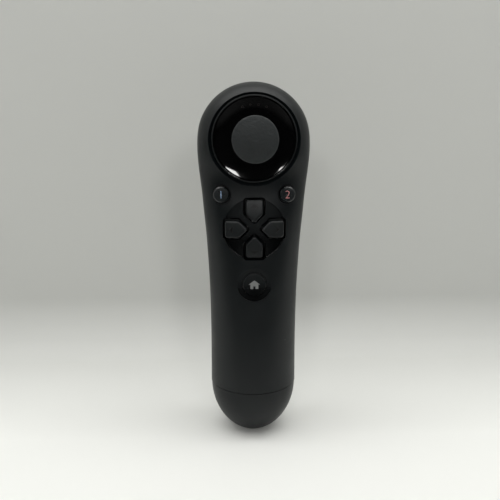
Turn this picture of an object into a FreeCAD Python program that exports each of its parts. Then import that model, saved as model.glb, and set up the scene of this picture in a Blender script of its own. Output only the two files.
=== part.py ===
import FreeCAD, Part
import Sketcher
import math
import os
import re

# A one-handed controller with a thumb-stick, an arrow pad, three buttons, a shoulder
# button and a trigger. Every piece is drawn in the frame of its face: x to the right,
# y up the handle from the flat base, z forward out of the face. Each finished piece is
# then stood up, so that forward becomes -Y and the height becomes +Z. Millimetres.

V = FreeCAD.Vector
doc = FreeCAD.newDocument("controller")
sheet = doc.addObject("Spreadsheet::Sheet", "sizes")
STAND_UP = FreeCAD.Rotation(V(1, 0, 0), 90)
TURN = {
    "x": FreeCAD.Rotation(V(0, 1, 0), 90),
    "y": FreeCAD.Rotation(V(1, 0, 0), -90),
    "z": FreeCAD.Rotation(),
}
aliases = set()
corners = {}
pieces = []


def note_sizes(text):
    """Give each size that an expression names a row of the sheet, under the same name.

    A size is a number, or a formula of other sizes.
    """
    for name in re.findall(r"[a-z_]+", text):
        if name in aliases or name.upper() not in globals():
            continue
        size = globals()[name.upper()]
        if isinstance(size, str):
            note_sizes(size)
            size = "=" + size
        row = str(len(aliases) + 1)
        sheet.set("A" + row, name.replace("_", " "))
        sheet.set("B" + row, str(size))
        sheet.setAlias("B" + row, name)
        sheet.recompute()
        aliases.add(name)


def cells(text):
    """Point the names in an expression at the cells of the sheet."""
    note_sizes(text)
    return re.sub(r"[a-z_]+", lambda word: "sizes." + word[0] if word[0] in aliases else word[0], text)


def value(text):
    note_sizes(text)
    return float(sheet.evalExpression(text))


def bind(thing, path, text):
    thing.setExpression(path, cells(text))


def place(thing, x, y, z):
    """Bind the corner or centre of a primitive."""
    corners[thing.Name] = (x, y, z)
    bind(thing, "Placement.Base.x", x)
    bind(thing, "Placement.Base.y", y)
    bind(thing, "Placement.Base.z", z)
    return thing


def block(name, x, y, z):
    """A box between two values along each axis."""
    made = doc.addObject("Part::Box", name)
    for side, (low, high) in zip(("Length", "Width", "Height"), (x, y, z)):
        bind(made, side, f"({high}) - ({low})")
    return place(made, x[0], y[0], z[0])


def rod(name, radius, along, x, y, z):
    """A cylinder. The coordinate along its axis is a pair of values."""
    made = doc.addObject("Part::Cylinder", name)
    made.Placement = FreeCAD.Placement(V(), TURN[along])
    low, high = {"x": x, "y": y, "z": z}[along]
    bind(made, "Radius", radius)
    bind(made, "Height", f"({high}) - ({low})")
    x, y, z = [low if axis == along else spot for axis, spot in zip("xyz", (x, y, z))]
    return place(made, x, y, z)


def ball(name, radius, x, y, z):
    made = doc.addObject("Part::Sphere", name)
    bind(made, "Radius", radius)
    return place(made, x, y, z)


def funnel(name, low_radius, high_radius, x, y, z):
    """A cone round the z axis, between two values of z."""
    made = doc.addObject("Part::Cone", name)
    bind(made, "Radius1", low_radius)
    bind(made, "Radius2", high_radius)
    bind(made, "Height", f"({z[1]}) - ({z[0]})")
    return place(made, x, y, z[0])


def fuse(name, *shapes):
    made = doc.addObject("Part::MultiFuse", name)
    made.Shapes = list(shapes)
    made.Refine = False
    return made


def cut(name, base, *tools):
    made = doc.addObject("Part::Cut", name)
    made.Base = base
    made.Tool = tools[0] if len(tools) == 1 else fuse(name + "_tools", *tools)
    made.Refine = False
    return made


def common(name, first, second):
    made = doc.addObject("Part::Common", name)
    made.Base = first
    made.Tool = second
    made.Refine = False
    return made


def soft_block(name, radius, x, y, z):
    """A box whose four edges along z are rounded."""
    (left, right), (low, high) = x, y
    inner_x = (f"{left} + {radius}", f"{right} - ({radius})")
    inner_y = (f"{low} + {radius}", f"{high} - ({radius})")
    parts = [block(name + "_wide", x, inner_y, z), block(name + "_tall", inner_x, y, z)]
    for across in inner_x:
        for up in inner_y:
            parts.append(rod(name + "_corner", radius, "z", across, up, z))
    return fuse(name, *parts)


def keep(label, made):
    """Stand a finished piece up and give it the name of its file."""
    made.Label = label
    if made.Name in corners:
        x, y, z = corners[made.Name]
        made.Placement = FreeCAD.Placement(V(), STAND_UP * made.Placement.Rotation)
        place(made, x, f"-({z})", y)
    else:
        made.Placement = FreeCAD.Placement(V(), STAND_UP)
    pieces.append(made)
    return made


def start_body(label, x="0", y="0", z="0"):
    """An empty body whose own origin is at a place of the face frame."""
    made = doc.addObject("PartDesign::Body", label)
    made.Label = label
    made.Placement = FreeCAD.Placement(V(), STAND_UP)
    place(made, x, f"-({z})", y)
    pieces.append(made)
    return made


def draw(body, plane, lift, *loops):
    """A sketch of closed loops on an origin plane, lifted along the plane's normal.

    A corner is (across, up), or (across, up, bend) where the edge to the next corner is
    an arc: bend is "axis" for a centre on the sketch's upright axis, else a radius, with
    a minus sign in front of it where the centre lies right of the way.
    """
    sketch = body.newObject("Sketcher::SketchObject", body.Label + "_sketch")
    origin = {plane.Role: plane for plane in body.Origin.OriginFeatures}
    sketch.AttachmentSupport = [(origin[plane], "")]
    sketch.MapMode = "FlatFace"
    bind(sketch, "AttachmentOffset.Base.z", lift)
    for loop in loops:
        spots = [V(value(corner[0]), value(corner[1]), 0) for corner in loop]
        first = sketch.GeometryCount
        ends = []
        for index, corner in enumerate(loop):
            here, there = spots[index], spots[(index + 1) % len(loop)]
            if len(corner) == 2:
                sketch.addGeometry(Part.LineSegment(here, there), False)
                ends.append((1, 2))
                continue
            if corner[2] == "axis":
                rise = here.y - there.y
                centre = V(0, (here.dot(here) - there.dot(there)) / (2 * rise), 0)
            else:
                radius = value(corner[2])
                along = there - here
                left = V(-along.y, along.x, 0).normalize()
                reach = math.sqrt(radius ** 2 - (along.Length / 2) ** 2)
                centre = (here + there) / 2 + left * math.copysign(reach, radius)
            turn = ((here - centre).cross(there - centre)).z > 0
            start, finish = (here, there) if turn else (there, here)
            angles = [math.atan2(spot.y - centre.y, spot.x - centre.x) for spot in (start, finish)]
            if angles[1] < angles[0]:
                angles[1] += 2 * math.pi
            circle = Part.Circle(centre, V(0, 0, 1), (here - centre).Length)
            number = sketch.addGeometry(Part.ArcOfCircle(circle, *angles), False)
            ends.append((1, 2) if turn else (2, 1))
            if corner[2] == "axis":
                sketch.addConstraint(Sketcher.Constraint("PointOnObject", number, 3, -2))
            else:
                size = sketch.addConstraint(Sketcher.Constraint("Radius", number, abs(radius)))
                bind(sketch, f"Constraints[{size}]", corner[2].lstrip("-"))
        for index, corner in enumerate(loop):
            after = (index + 1) % len(loop)
            joint = (first + index, ends[index][1], first + after, ends[after][0])
            sketch.addConstraint(Sketcher.Constraint("Coincident", *joint))
            for way, part, spot in (("DistanceX", 0, spots[index].x), ("DistanceY", 1, spots[index].y)):
                corner_point = (first + index, ends[index][0])
                rule = sketch.addConstraint(Sketcher.Constraint(way, -1, 1, *corner_point, spot))
                bind(sketch, f"Constraints[{rule}]", corner[part])
    return sketch


def circle(body, plane, lift, radius, *centres):
    """A sketch of equal circles on an origin plane."""
    sketch = body.newObject("Sketcher::SketchObject", body.Label + "_circles")
    origin = {plane.Role: plane for plane in body.Origin.OriginFeatures}
    sketch.AttachmentSupport = [(origin[plane], "")]
    sketch.MapMode = "FlatFace"
    bind(sketch, "AttachmentOffset.Base.z", lift)
    for across, up in centres:
        spot = V(value(across), value(up), 0)
        number = sketch.addGeometry(Part.Circle(spot, V(0, 0, 1), value(radius)), False)
        size = sketch.addConstraint(Sketcher.Constraint("Radius", number, value(radius)))
        bind(sketch, f"Constraints[{size}]", radius)
        for way, text, reach in (("DistanceX", across, spot.x), ("DistanceY", up, spot.y)):
            rule = sketch.addConstraint(Sketcher.Constraint(way, -1, 1, number, 3, reach))
            bind(sketch, f"Constraints[{rule}]", text)
    return sketch


def pad(body, sketch, length, middle=False):
    made = body.newObject("PartDesign::Pad", body.Label + "_pad")
    made.Profile = sketch
    if middle:
        made.SideType = "Symmetric"
    bind(made, "Length", length)
    body.Tip = made
    return made


def pocket(body, sketch, length, middle=False, flip=False):
    """Cut away from the body. The volume must fall, or the cut points the wrong way."""
    doc.recompute()
    before = body.Shape.Volume
    made = body.newObject("PartDesign::Pocket", body.Label + "_pocket")
    made.Profile = sketch
    if middle:
        made.SideType = "Symmetric"
    made.Reversed = flip
    bind(made, "Length", length)
    body.Tip = made
    doc.recompute()
    if body.Shape.Volume > before - 0.001:
        raise ValueError(body.Label + ": a pocket cuts nothing")
    return made


def turned(label, up, outline, x="0"):
    """A piece turned about an axis through the face, from its half outline."""
    body = start_body(label, x, up)
    spin = body.newObject("PartDesign::Revolution", label + "_spin")
    spin.Profile = draw(body, "XZ_Plane", "0", outline)
    spin.ReferenceAxis = (spin.Profile[0], ["V_Axis"])
    spin.Angle = 360
    body.Tip = spin
    return body


# The casing's shape. Its widths and depths are taken at ten stations. The lowest three are
# measured up from the foot, and the others down from the middle of the round head, so that
# the handle grows or shrinks between them with the height of the head. The power says how
# full the front of a section is: 2 is an ellipse, and more fills its corners.
STATIONS = {
    "seam": "seam_up",
    "heel": "heel_up",
    "palm": "palm_up",
    "finger": "head_up - finger_drop",
    "pad": "head_up - pad_drop",
    "neck": "head_up - neck_drop",
    "throat": "head_up - throat_drop",
    "chin": "head_up - chin_drop",
    "cheek": "head_up - cheek_drop",
    "head": "head_up",
}
OVERALL_HEIGHT = 138.2
HEAD_UP = "overall_height - head_half"
SEAM_UP = 20.6
SEAM_HALF = 17.1
SEAM_FRONT = 14.5
SEAM_BACK = 13.3
SEAM_POWER = 1.9
HEEL_UP = 40.0
HEEL_HALF = 16.95
HEEL_FRONT = 13.6
HEEL_BACK = 13.4
HEEL_POWER = 1.95
PALM_UP = 60.0
PALM_HALF = 17.15
PALM_FRONT = 12.7
PALM_BACK = 12.4
PALM_POWER = 2.1
FINGER_DROP = 37.2
FINGER_HALF = 18.1
FINGER_FRONT = 12.4
FINGER_BACK = 10.9
FINGER_POWER = 2.3
PAD_DROP = 27.2
PAD_HALF = 18.95
PAD_FRONT = 12.0
PAD_BACK = 10.4
PAD_POWER = 2.4
NECK_DROP = 20.2
NECK_HALF = 19.5
NECK_FRONT = 11.2
NECK_BACK = 10.3
NECK_POWER = 2.5
THROAT_DROP = 15.2
THROAT_HALF = 20.1
THROAT_FRONT = 10.9
THROAT_BACK = 10.4
THROAT_POWER = 2.5
CHIN_DROP = 11.2
CHIN_HALF = 20.5
CHIN_FRONT = 11.95
CHIN_BACK = 10.7
CHIN_POWER = 2.5
CHEEK_DROP = 7.2
CHEEK_HALF = 20.85
CHEEK_FRONT = 13.1
CHEEK_BACK = 11.0
CHEEK_POWER = 2.5
HEAD_HALF = 21.0
HEAD_FRONT = 14.7
HEAD_BACK = 11.5
HEAD_POWER = 2.5
BACK_POWER = 2.5
WALL = 1.8
LIP_WALL = 0.8
LIP_HEIGHT = 1.2
LIP_CLEARANCE = 0.12
SHELL_GAP = 0.12
SEAM_GAP = 0.3
SPIGOT_HIGH = 4.9
SIDES = 32
GRIP_STEPS = 15
HEAD_ANGLES = (17.5, 35, 52, 67, 79, 86)
CAP_STEPS = 9


def station_sizes(up):
    """Half width, front, back and front power at a height, smooth through the stations."""
    rows = []
    for name, height in STATIONS.items():
        rows.append([value(height)] + [value(name + part) for part in ("_half", "_front", "_back", "_power")])
    slopes = []
    for index in range(len(rows) - 1):
        below, above = rows[max(index - 1, 0)], rows[index + 1]
        run = above[0] - below[0]
        slopes.append([(above[part] - below[part]) / run for part in (1, 2, 3, 4)])
    slopes.append([0, 0, 0, 0])
    up = min(max(up, rows[0][0]), rows[-1][0])
    index = max(number for number, row in enumerate(rows[:-1]) if row[0] <= up + 1e-9)
    low, high = rows[index], rows[index + 1]
    span = high[0] - low[0]
    u = (up - low[0]) / span
    found = []
    for i in (0, 1, 2, 3):
        near = (2 * u ** 3 - 3 * u ** 2 + 1) * low[i + 1] + (3 * u ** 2 - 2 * u ** 3) * high[i + 1]
        bend = (u ** 3 - 2 * u ** 2 + u) * slopes[index][i] + (u ** 3 - u ** 2) * slopes[index + 1][i]
        found.append(near + bend * span)
    return found


def closed_curve(points):
    """A smooth closed curve. Its knots are numbered evenly, so every section has the same ones."""
    curve = Part.BSplineCurve()
    numbers = [float(number) for number in range(len(points) + 1)]
    curve.interpolate(Points=points, PeriodicFlag=True, Parameters=numbers)
    return Part.Wire([curve.toShape()])


def signed_power(number, power):
    return math.copysign(abs(number) ** power, number)


def ring(up, half, front, back, front_power):
    """One level section: a softened oval with its own depth in front and behind."""
    points = []
    for side in range(SIDES):
        angle = 2 * math.pi * side / SIDES
        forward = math.sin(angle) > 0
        depth, power = (front, front_power) if forward else (back, value("back_power"))
        x = half * signed_power(math.cos(angle), 2 / power)
        z = depth * signed_power(math.sin(angle), 2 / power)
        points.append(V(x, up, z))
    return closed_curve(points)


def head_ring(angle, inset):
    """One level section of the round head, at an angle above its middle."""
    power = value("head_power")
    radius = value("head_half") - inset
    centre = value("head_up")
    rise = radius * math.sin(math.radians(angle))
    share = (1 - (rise / radius) ** power) ** (1 / power)
    points = []
    for side in range(SIDES):
        turn = 2 * math.pi * side / SIDES
        depth = value("head_front" if math.sin(turn) > 0 else "head_back") - inset
        z = depth * share * signed_power(math.sin(turn), 2 / power)
        reach = radius * max(0, 1 - (abs(z) / depth) ** power) ** (1 / power)
        x = math.copysign(math.sqrt(max(0, reach ** 2 - rise ** 2)), math.cos(turn))
        points.append(V(0 if abs(math.cos(turn)) < 1e-9 else x, centre + rise, z))
    return closed_curve(points)


def loft(name, rings):
    made = doc.addObject("Part::Feature", name)
    made.Shape = Part.makeLoft(rings, True, False)
    return made


def casing(name, inset, below=0):
    """The casing's solid, drawn in by an inset, from a little below the seam."""
    inset = value(inset)
    low, high = value("seam_up") - value(str(below)), value("head_up")
    rings = []
    for step in range(GRIP_STEPS + 1):
        up = low + (high - low) * step / GRIP_STEPS
        half, front, back, power = station_sizes(up)
        rings.append(ring(up, half - inset, front - inset, back - inset, power))
    rings += [head_ring(angle, inset) for angle in HEAD_ANGLES]
    return loft(name, rings)


# Places on the face, measured down or up from the middle of the round head.
FACE_LIFT = 0.6
BUTTON_DROP = 19.2
BUTTON_OUT = 12.15
ARROW_DROP = 31.8
HOME_DROP = 52.9
FAR = 40.0
face_up = "(head_up + face_lift)"
button_up = "(head_up - button_drop)"
arrow_up = "(head_up - arrow_drop)"
home_up = "(head_up - home_drop)"
HANDS = (("left", "-"), ("right", ""))
through = ("-far", "far")

# Depths of the stack behind the face: board, key frame, contact film, rubber.
BOARD_FRONT = -0.8
BOARD_THICK = 1.0
FRAME_THICK = 4.0
FILM_THICK = 0.2
RUBBER_BASE = 0.8
REST_GAP = 0.3
TOUCH_GAP = 0.1
board_back = "(board_front - board_thick)"
frame_top = "(board_front + frame_thick)"
film_top = f"({frame_top} + film_thick)"
rubber_top = f"({film_top} + rubber_base)"

# Sizes of the thumb-stick, whose pivot lies inside the round face.
STICK_PIVOT = 3.4
BOWL_RADIUS = 9.4
BOWL_WALL = 0.8
BOWL_GAP = 0.35
BOWL_ANGLE = 62.0
BEZEL_FLOOR = 9.4
BEZEL_WALL = 1.2
BEZEL_FLAT = 12.5
BEZEL_LIP = 11.0
BEZEL_RADIUS = 15.4
BEZEL_LAND = 0.3
BEZEL_FLANGE = 16.2
BEZEL_SKIRT = 6.4
BEZEL_SKIRT_INNER = 14.2
BEZEL_FLANGE_THICK = 1.0
BEZEL_GAP = 0.1
BEVEL = 1.3
BEVEL_FLOOR = 9.6
hole_radius = "(bowl_radius + bowl_gap)"
hole_top = f"sqrt({hole_radius}^2 - (bezel_floor - stick_pivot)^2)"
hole_under = f"sqrt({hole_radius}^2 - (bezel_floor - bezel_wall - stick_pivot)^2)"

# The black bezel round the stick: a turned ring, a shallow dish whose floor curves up into
# a raised lip, with a hidden flange. The curve leaves the floor without a step.
dish_run = "(bezel_radius - bezel_land - bezel_flat)"
dish_rise = "(bezel_lip - bezel_floor)"
dish_curve = f"({dish_run}^2 + {dish_rise}^2) / (2 * {dish_rise})"
bezel = turned("stick_bezel", face_up, [
    (hole_top, "bezel_floor"),
    ("bezel_flat", "bezel_floor", dish_curve),
    ("bezel_radius - bezel_land", "bezel_lip"),
    ("bezel_radius", "bezel_lip - bezel_land / 2"),
    ("bezel_radius", "bezel_skirt + bezel_flange_thick"),
    ("bezel_flange", "bezel_skirt + bezel_flange_thick"),
    ("bezel_flange", "bezel_skirt"),
    ("bezel_skirt_inner", "bezel_skirt"),
    ("bezel_skirt_inner", "bezel_floor - bezel_wall"),
    (hole_under, "bezel_floor - bezel_wall", "axis"),
])

# Four small lamps show through holes in the bezel, above the stick.
LAMP_CIRCLE = 12.0
LAMP_INNER_ANGLE = 7.0
LAMP_OUTER_ANGLE = 21.0
LAMP_RADIUS = 0.42
LAMP_CLEARANCE = 0.06
LAMP_SINK = 0.05
LAMP_LEG = 0.6
LAMP_BAR_LOW = 4.8
LAMP_BAR_THICK = 1.0
LAMP_BAR_HALF = 5.3
LAMP_BAR_WIDE = 2.6
LAMP_CHIP = 0.8
LAMP_CHIP_HALF = 0.9
lamps = []
for angle in ("-lamp_outer_angle", "-lamp_inner_angle", "lamp_inner_angle", "lamp_outer_angle"):
    lamps.append((f"lamp_circle * sin({angle} * 1deg)", f"lamp_circle * cos({angle} * 1deg)"))
lamp_holes = circle(bezel, "XY_Plane", "bezel_floor", "lamp_radius + lamp_clearance", *lamps)
pocket(bezel, lamp_holes, "2 * bezel_wall")

lamp_bar_up = f"{face_up} + lamp_circle * cos(lamp_outer_angle * 1deg)"
lens_parts = [block("lens_bar", ("-lamp_bar_half", "lamp_bar_half"),
                    (f"{lamp_bar_up} - lamp_bar_wide / 4", f"{lamp_bar_up} + 3 * lamp_bar_wide / 4"),
                    ("lamp_bar_low", "lamp_bar_low + lamp_bar_thick"))]
chips = []
for across, up in lamps:
    up = f"{face_up} + {up}"
    lens_parts.append(rod("lens_tip", "lamp_radius", "z", across, up,
                          ("lamp_bar_low", "bezel_floor - lamp_sink")))
    lens_parts.append(rod("lens_leg", "lamp_leg", "z", across, up,
                          ("board_front + lamp_chip + touch_gap", "lamp_bar_low + lamp_bar_thick / 2")))
    chips.append(block("lamp_chip", (f"{across} - lamp_chip_half", f"{across} + lamp_chip_half"),
                       (f"{up} - lamp_chip_half", f"{up} + lamp_chip_half"),
                       ("board_front", "board_front + lamp_chip")))
keep("indicator_lens", fuse("lens", *lens_parts))
keep("indicator_leds", fuse("leds", *chips))

# The stick: a rubber top on a moulded cap, whose bowl closes the hole, on a metal shaft.
CAP_RADIUS = 8.15
CAP_LOW = 16.5
CAP_PLATE = 17.3
CAP_NECK = 3.6
CAP_FLARE = 1.3
GRIP_SIDE = 1.1
GRIP_EDGE = 0.35
GRIP_CROWN = 1.5
SHAFT_RADIUS = 1.5
SHAFT_TOP = 15.5
SHAFT_LOW = 1.6
SHAFT_FIT = 0.02
SLIDE_FIT = 0.05
HUB_RADIUS = 2.8
HUB_LOW = 9.0
bowl_inner = "(bowl_radius - bowl_wall)"
turned("stick_cap", face_up, [
    ("0", "shaft_top"),
    ("shaft_radius + shaft_fit", "shaft_top"),
    ("shaft_radius + shaft_fit", "hub_low"),
    ("hub_radius", "hub_low"),
    ("hub_radius", f"stick_pivot + sqrt({bowl_inner}^2 - hub_radius^2)", "axis"),
    (f"{bowl_inner} * sin(bowl_angle * 1deg)", f"stick_pivot + {bowl_inner} * cos(bowl_angle * 1deg)"),
    ("bowl_radius * sin(bowl_angle * 1deg)", "stick_pivot + bowl_radius * cos(bowl_angle * 1deg)", "axis"),
    ("cap_neck", "stick_pivot + sqrt(bowl_radius^2 - cap_neck^2)"),
    ("cap_neck", "cap_low - cap_flare"),
    ("cap_neck + cap_flare", "cap_low"),
    ("cap_radius - grip_edge", "cap_low"),
    ("cap_radius - grip_edge", "cap_plate"),
    ("0", "cap_plate"),
])
turned("stick_grip", face_up, [
    ("0", "cap_plate"),
    ("cap_radius", "cap_plate"),
    ("cap_radius", "cap_plate + grip_side"),
    ("cap_radius - grip_edge", "cap_plate + grip_side + grip_edge", "axis"),
    ("0", "cap_plate + grip_side + grip_edge + grip_crown"),
])
keep("stick_shaft", rod("shaft", "shaft_radius", "z", "0", face_up, ("shaft_low", "shaft_top - touch_gap")))

# The stick's gimbal: a square housing, a tilting yoke, a pivot block and a follower arch.
HOUSING_HALF = 5.7
HOUSING_WALL = 1.0
HOUSING_FLOOR = 0.8
HOUSING_TOP = 5.3
YOKE_HALF_WIDE = 4.0
YOKE_HALF_TALL = 3.3
YOKE_RIM = 1.0
YOKE_BACK = 0.8
TRUNNION = 1.0
TRUNNION_REACH = 10.5
TRUNNION_SHORT = 6.2
TRUNNION_FIT = 0.05
CUBE_HALF_WIDE = 2.2
CUBE_HALF_TALL = 2.0
CUBE_BACK = 1.2
CUBE_PIN = 0.7
ARCH_INNER = 4.1
ARCH_WALL = 0.5
ARCH_HALF = 2.3
ARCH_FOOT = 1.2
SLOT_HALF_WIDE = 1.8
SLOT_HALF_LONG = 3.2
CLICK_RADIUS = 2.0
CLICK_HEIGHT = 0.45
SENSOR_NEAR = 9.9
SENSOR_THICK = 2.4
SENSOR_HALF = 3.0
SENSOR_TOP = 6.2
housing_inner = "(housing_half - housing_wall)"


def square(name, half_wide, half_tall, z):
    """A block centred on the stick's axis."""
    return block(name, (f"-({half_wide})", half_wide),
                 (f"{face_up} - ({half_tall})", f"{face_up} + {half_tall}"), z)


keep("stick_housing", cut(
    "housing",
    square("housing_outside", "housing_half", "housing_half", ("board_front", "housing_top")),
    square("housing_inside", housing_inner, housing_inner, ("board_front + housing_floor", "far")),
    rod("housing_cross", "trunnion + trunnion_fit", "x", ("-housing_half - 1", "housing_half + 1"),
        face_up, "stick_pivot"),
    rod("housing_upright", "trunnion + trunnion_fit", "y", "0",
        (f"{face_up} - housing_half - 1", f"{face_up} + housing_half + 1"), "stick_pivot")))
yoke_level = ("stick_pivot - yoke_back", "stick_pivot + yoke_back")
yoke_ring = cut(
    "yoke_ring",
    square("yoke_outside", "yoke_half_wide", "yoke_half_tall", yoke_level),
    square("yoke_inside", "yoke_half_wide - yoke_rim", "yoke_half_tall - yoke_rim", through),
    rod("yoke_bores", "cube_pin + trunnion_fit", "y", "0",
        (f"{face_up} - far", f"{face_up} + far"), "stick_pivot"))
keep("stick_yoke", fuse(
    "yoke", yoke_ring,
    rod("yoke_long_pin", "trunnion", "x", ("yoke_half_wide - yoke_rim / 2", "trunnion_reach"),
        face_up, "stick_pivot"),
    rod("yoke_short_pin", "trunnion", "x", ("-trunnion_short", "yoke_rim / 2 - yoke_half_wide"),
        face_up, "stick_pivot")))
keep("stick_pivot", cut(
    "pivot",
    fuse("pivot_solid",
         square("pivot_cube", "cube_half_wide", "cube_half_tall",
                ("stick_pivot - cube_back", "stick_pivot + cube_back")),
         rod("pivot_pins", "cube_pin", "y", "0",
             (f"{face_up} - yoke_half_tall", f"{face_up} + yoke_half_tall"), "stick_pivot")),
    rod("pivot_bore", "shaft_radius + slide_fit", "z", "0", face_up, through)))
arch_outer = "(arch_inner + arch_wall)"
arch_ring = cut(
    "arch_ring",
    rod("arch_outside", arch_outer, "x", ("-arch_half", "arch_half"), face_up, "stick_pivot"),
    rod("arch_inside", "arch_inner", "x", through, face_up, "stick_pivot"),
    block("arch_below", through, (f"{face_up} - far", f"{face_up} + far"),
          ("-far", "stick_pivot - arch_foot")),
    square("arch_slot", "slot_half_wide", "slot_half_long", ("stick_pivot", "far")))
keep("stick_follower", fuse(
    "follower", arch_ring,
    rod("follower_long_pin", "trunnion", "y", "0",
        (f"{face_up} - trunnion_reach", f"{face_up} - arch_inner - arch_wall / 2"), "stick_pivot"),
    rod("follower_short_pin", "trunnion", "y", "0",
        (f"{face_up} + arch_inner + arch_wall / 2", f"{face_up} + trunnion_short"), "stick_pivot")))
click_low = "board_front + housing_floor"
click_span = (click_low, click_low + " + click_height")
keep("stick_click_switch", rod("click", "click_radius", "z", "0", face_up, click_span))
sensor_far = "(sensor_near + sensor_thick)"
sensor_bore_end = "trunnion_reach + rest_gap"
keep("stick_sensor_side", cut(
    "sensor_side",
    block("side_case", ("sensor_near", sensor_far),
          (f"{face_up} - sensor_half", f"{face_up} + sensor_half"), ("board_front", "sensor_top")),
    rod("side_bore", "trunnion + trunnion_fit", "x", ("sensor_near - 1", sensor_bore_end),
        face_up, "stick_pivot")))
keep("stick_sensor_lower", cut(
    "sensor_lower",
    block("lower_case", ("-sensor_half", "sensor_half"),
          (f"{face_up} - {sensor_far}", f"{face_up} - sensor_near"), ("board_front", "sensor_top")),
    rod("lower_bore", "trunnion + trunnion_fit", "y", "0",
        (f"{face_up} - ({sensor_bore_end})", f"{face_up} - sensor_near + 1"), "stick_pivot")))

# Two action buttons in small wells, each with a flange that stops it under its boss.
BUTTON_RADIUS = 2.9
BUTTON_TOP = 10.6
BUTTON_EDGE = 0.4
BUTTON_CROWN = 0.15
BUTTON_GAP = 0.25
BUTTON_FLANGE = 3.5
BUTTON_FLANGE_LOW = 5.6
BUTTON_FLANGE_THICK = 1.0
WELL_RADIUS = 3.7
WELL_FLOOR = 8.8
BOSS_WALL = 1.0
button_boss_low = "(button_flange_low + button_flange_thick + rest_gap)"
for hand, sign in HANDS:
    turned(hand + "_button", button_up, [
        ("0", "button_flange_low"),
        ("button_flange", "button_flange_low"),
        ("button_flange", "button_flange_low + button_flange_thick"),
        ("button_radius", "button_flange_low + button_flange_thick"),
        ("button_radius", "button_top - button_edge - button_crown"),
        ("button_radius - button_edge", "button_top - button_crown", "axis"),
        ("0", "button_top"),
    ], x=sign + "button_out")

# The home button below the arrow pad: a hollowed face, a flange and a stem to its contact.
HOME_RADIUS = 4.45
HOME_RIM = 12.2
HOME_MIDDLE = 11.9
HOME_EDGE = 0.3
HOME_GAP = 0.2
HOME_FLANGE = 5.6
HOME_FLANGE_LOW = 7.9
HOME_FLANGE_THICK = 1.0
HOME_STEM = 2.0
HOME_DISH = 6.45
HOME_DISH_FLOOR = 11.5
HOME_DISH_BALL = 40.0
HOME_BOSS_WALL = 0.75
home_boss_low = "(home_flange_low + home_flange_thick + rest_gap)"
contact_low = "button_flange_low"
turned("home_button", home_up, [
    ("0", contact_low),
    ("home_stem", contact_low),
    ("home_stem", "home_flange_low"),
    ("home_flange", "home_flange_low"),
    ("home_flange", "home_flange_low + home_flange_thick"),
    ("home_radius", "home_flange_low + home_flange_thick"),
    ("home_radius", "home_rim - home_edge"),
    ("home_radius - home_edge", "home_rim", "axis"),
    ("0", "home_middle"),
])

# The arrow pad: four five-sided keys on one cross-shaped plate that rocks on a ball.
ARROW_TOP = 12.9
ARROW_BALL_RADIUS = 60.0
CROWN_SPARE = 1.0
ARROW_HALF = 3.25
ARROW_POINT = 2.5
ARROW_REACH = 10.8
ARROW_EDGE = 0.5
ARROW_GAP = 0.85
HOLE_CORNER = 1.4
CROSS_HALF = 3.6
CROSS_REACH = 11.2
CROSS_LOW = 6.2
CROSS_THICK = 1.2
HUB_WIDE = 3.0
HUB_HIGH = 7.9
ROCK_BALL = 1.5
ROCK_HEIGHT = 5.6
ROCK_GAP = 0.1
ROCK_ROOF = 0.15
SEAT_RADIUS = 1.4
DISH_RADIUS = 11.4
DISH_DEEP = 1.5
DISH_EDGE = 0.5
DISH_BOSS = 12.9
DISH_BOSS_LOW = 8.4


def turned_corner(quarter, across, up):
    """A corner of the upper key, turned by quarter turns about the pad's middle."""
    return [(across, up), (f"-({up})", across), (f"-({across})", f"-({up})"), (up, f"-({across})")][quarter]


def key_outline(quarter, grow):
    """One key: a square-ended tongue whose inner end is a right-angled point."""
    half = f"(arrow_half + {grow})"
    tip = f"(arrow_point - {grow} * sqrt(2))"
    corners_up = [("0", tip), (half, f"{tip} + {half}"), (half, f"arrow_reach + {grow}"),
                  (f"-{half}", f"arrow_reach + {grow}"), (f"-{half}", f"{tip} + {half}")]
    return [turned_corner(quarter, across, up) for across, up in corners_up]


cross = []
for quarter in range(4):
    arm = (("cross_half", "cross_half"), ("cross_half", "cross_reach"), ("-cross_half", "cross_reach"))
    for across, up in arm:
        cross.append(turned_corner(quarter, across, up))
arrows = start_body("dpad", "0", arrow_up)
pad(arrows, draw(arrows, "XY_Plane", "cross_low", cross), "cross_thick")
pad(arrows, circle(arrows, "XY_Plane", "cross_low", "hub_wide", ("0", "0")), "hub_high - cross_low")
keys = [key_outline(quarter, "0") for quarter in range(4)]
pad(arrows, draw(arrows, "XY_Plane", "cross_low", *keys), "arrow_top + crown_spare - cross_low")
socket_top = "(rock_height + rock_ball + rock_roof)"
pocket(arrows, circle(arrows, "XY_Plane", socket_top, "rock_ball + rock_gap", ("0", "0")), "2 * rock_ball")
doc.recompute()
before_crown = arrows.Shape.Volume
crown = arrows.newObject("PartDesign::Groove", "dpad_crown")
crown.Profile = draw(arrows, "XZ_Plane", "0", [
    ("0", "arrow_top", "axis"),
    ("2 * arrow_reach", "arrow_top - arrow_ball_radius + sqrt(arrow_ball_radius^2 - 4 * arrow_reach^2)"),
    ("2 * arrow_reach", "arrow_top + 3 * crown_spare"),
    ("0", "arrow_top + 3 * crown_spare"),
])
crown.ReferenceAxis = (crown.Profile[0], ["V_Axis"])
crown.Angle = 360
arrows.Tip = crown
doc.recompute()
if arrows.Shape.Volume >= before_crown:
    raise ValueError("the crown of the arrow pad cuts nothing")
balls = [face for face in crown.Shape.Faces if face.Surface.TypeId == "Part::GeomSphere"]
tops = [face for face in balls if math.isclose(face.Surface.Radius, value("arrow_ball_radius"))]
key_tops = []
for number, edge in enumerate(crown.Shape.Edges, 1):
    if sum(any(edge.isSame(side) for side in face.Edges) for face in tops) == 1:
        key_tops.append(f"Edge{number}")
bevelled = arrows.newObject("PartDesign::Chamfer", "dpad_bevel")
bevelled.Base = (crown, key_tops)
bind(bevelled, "Size", "arrow_edge")
arrows.Tip = bevelled
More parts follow.
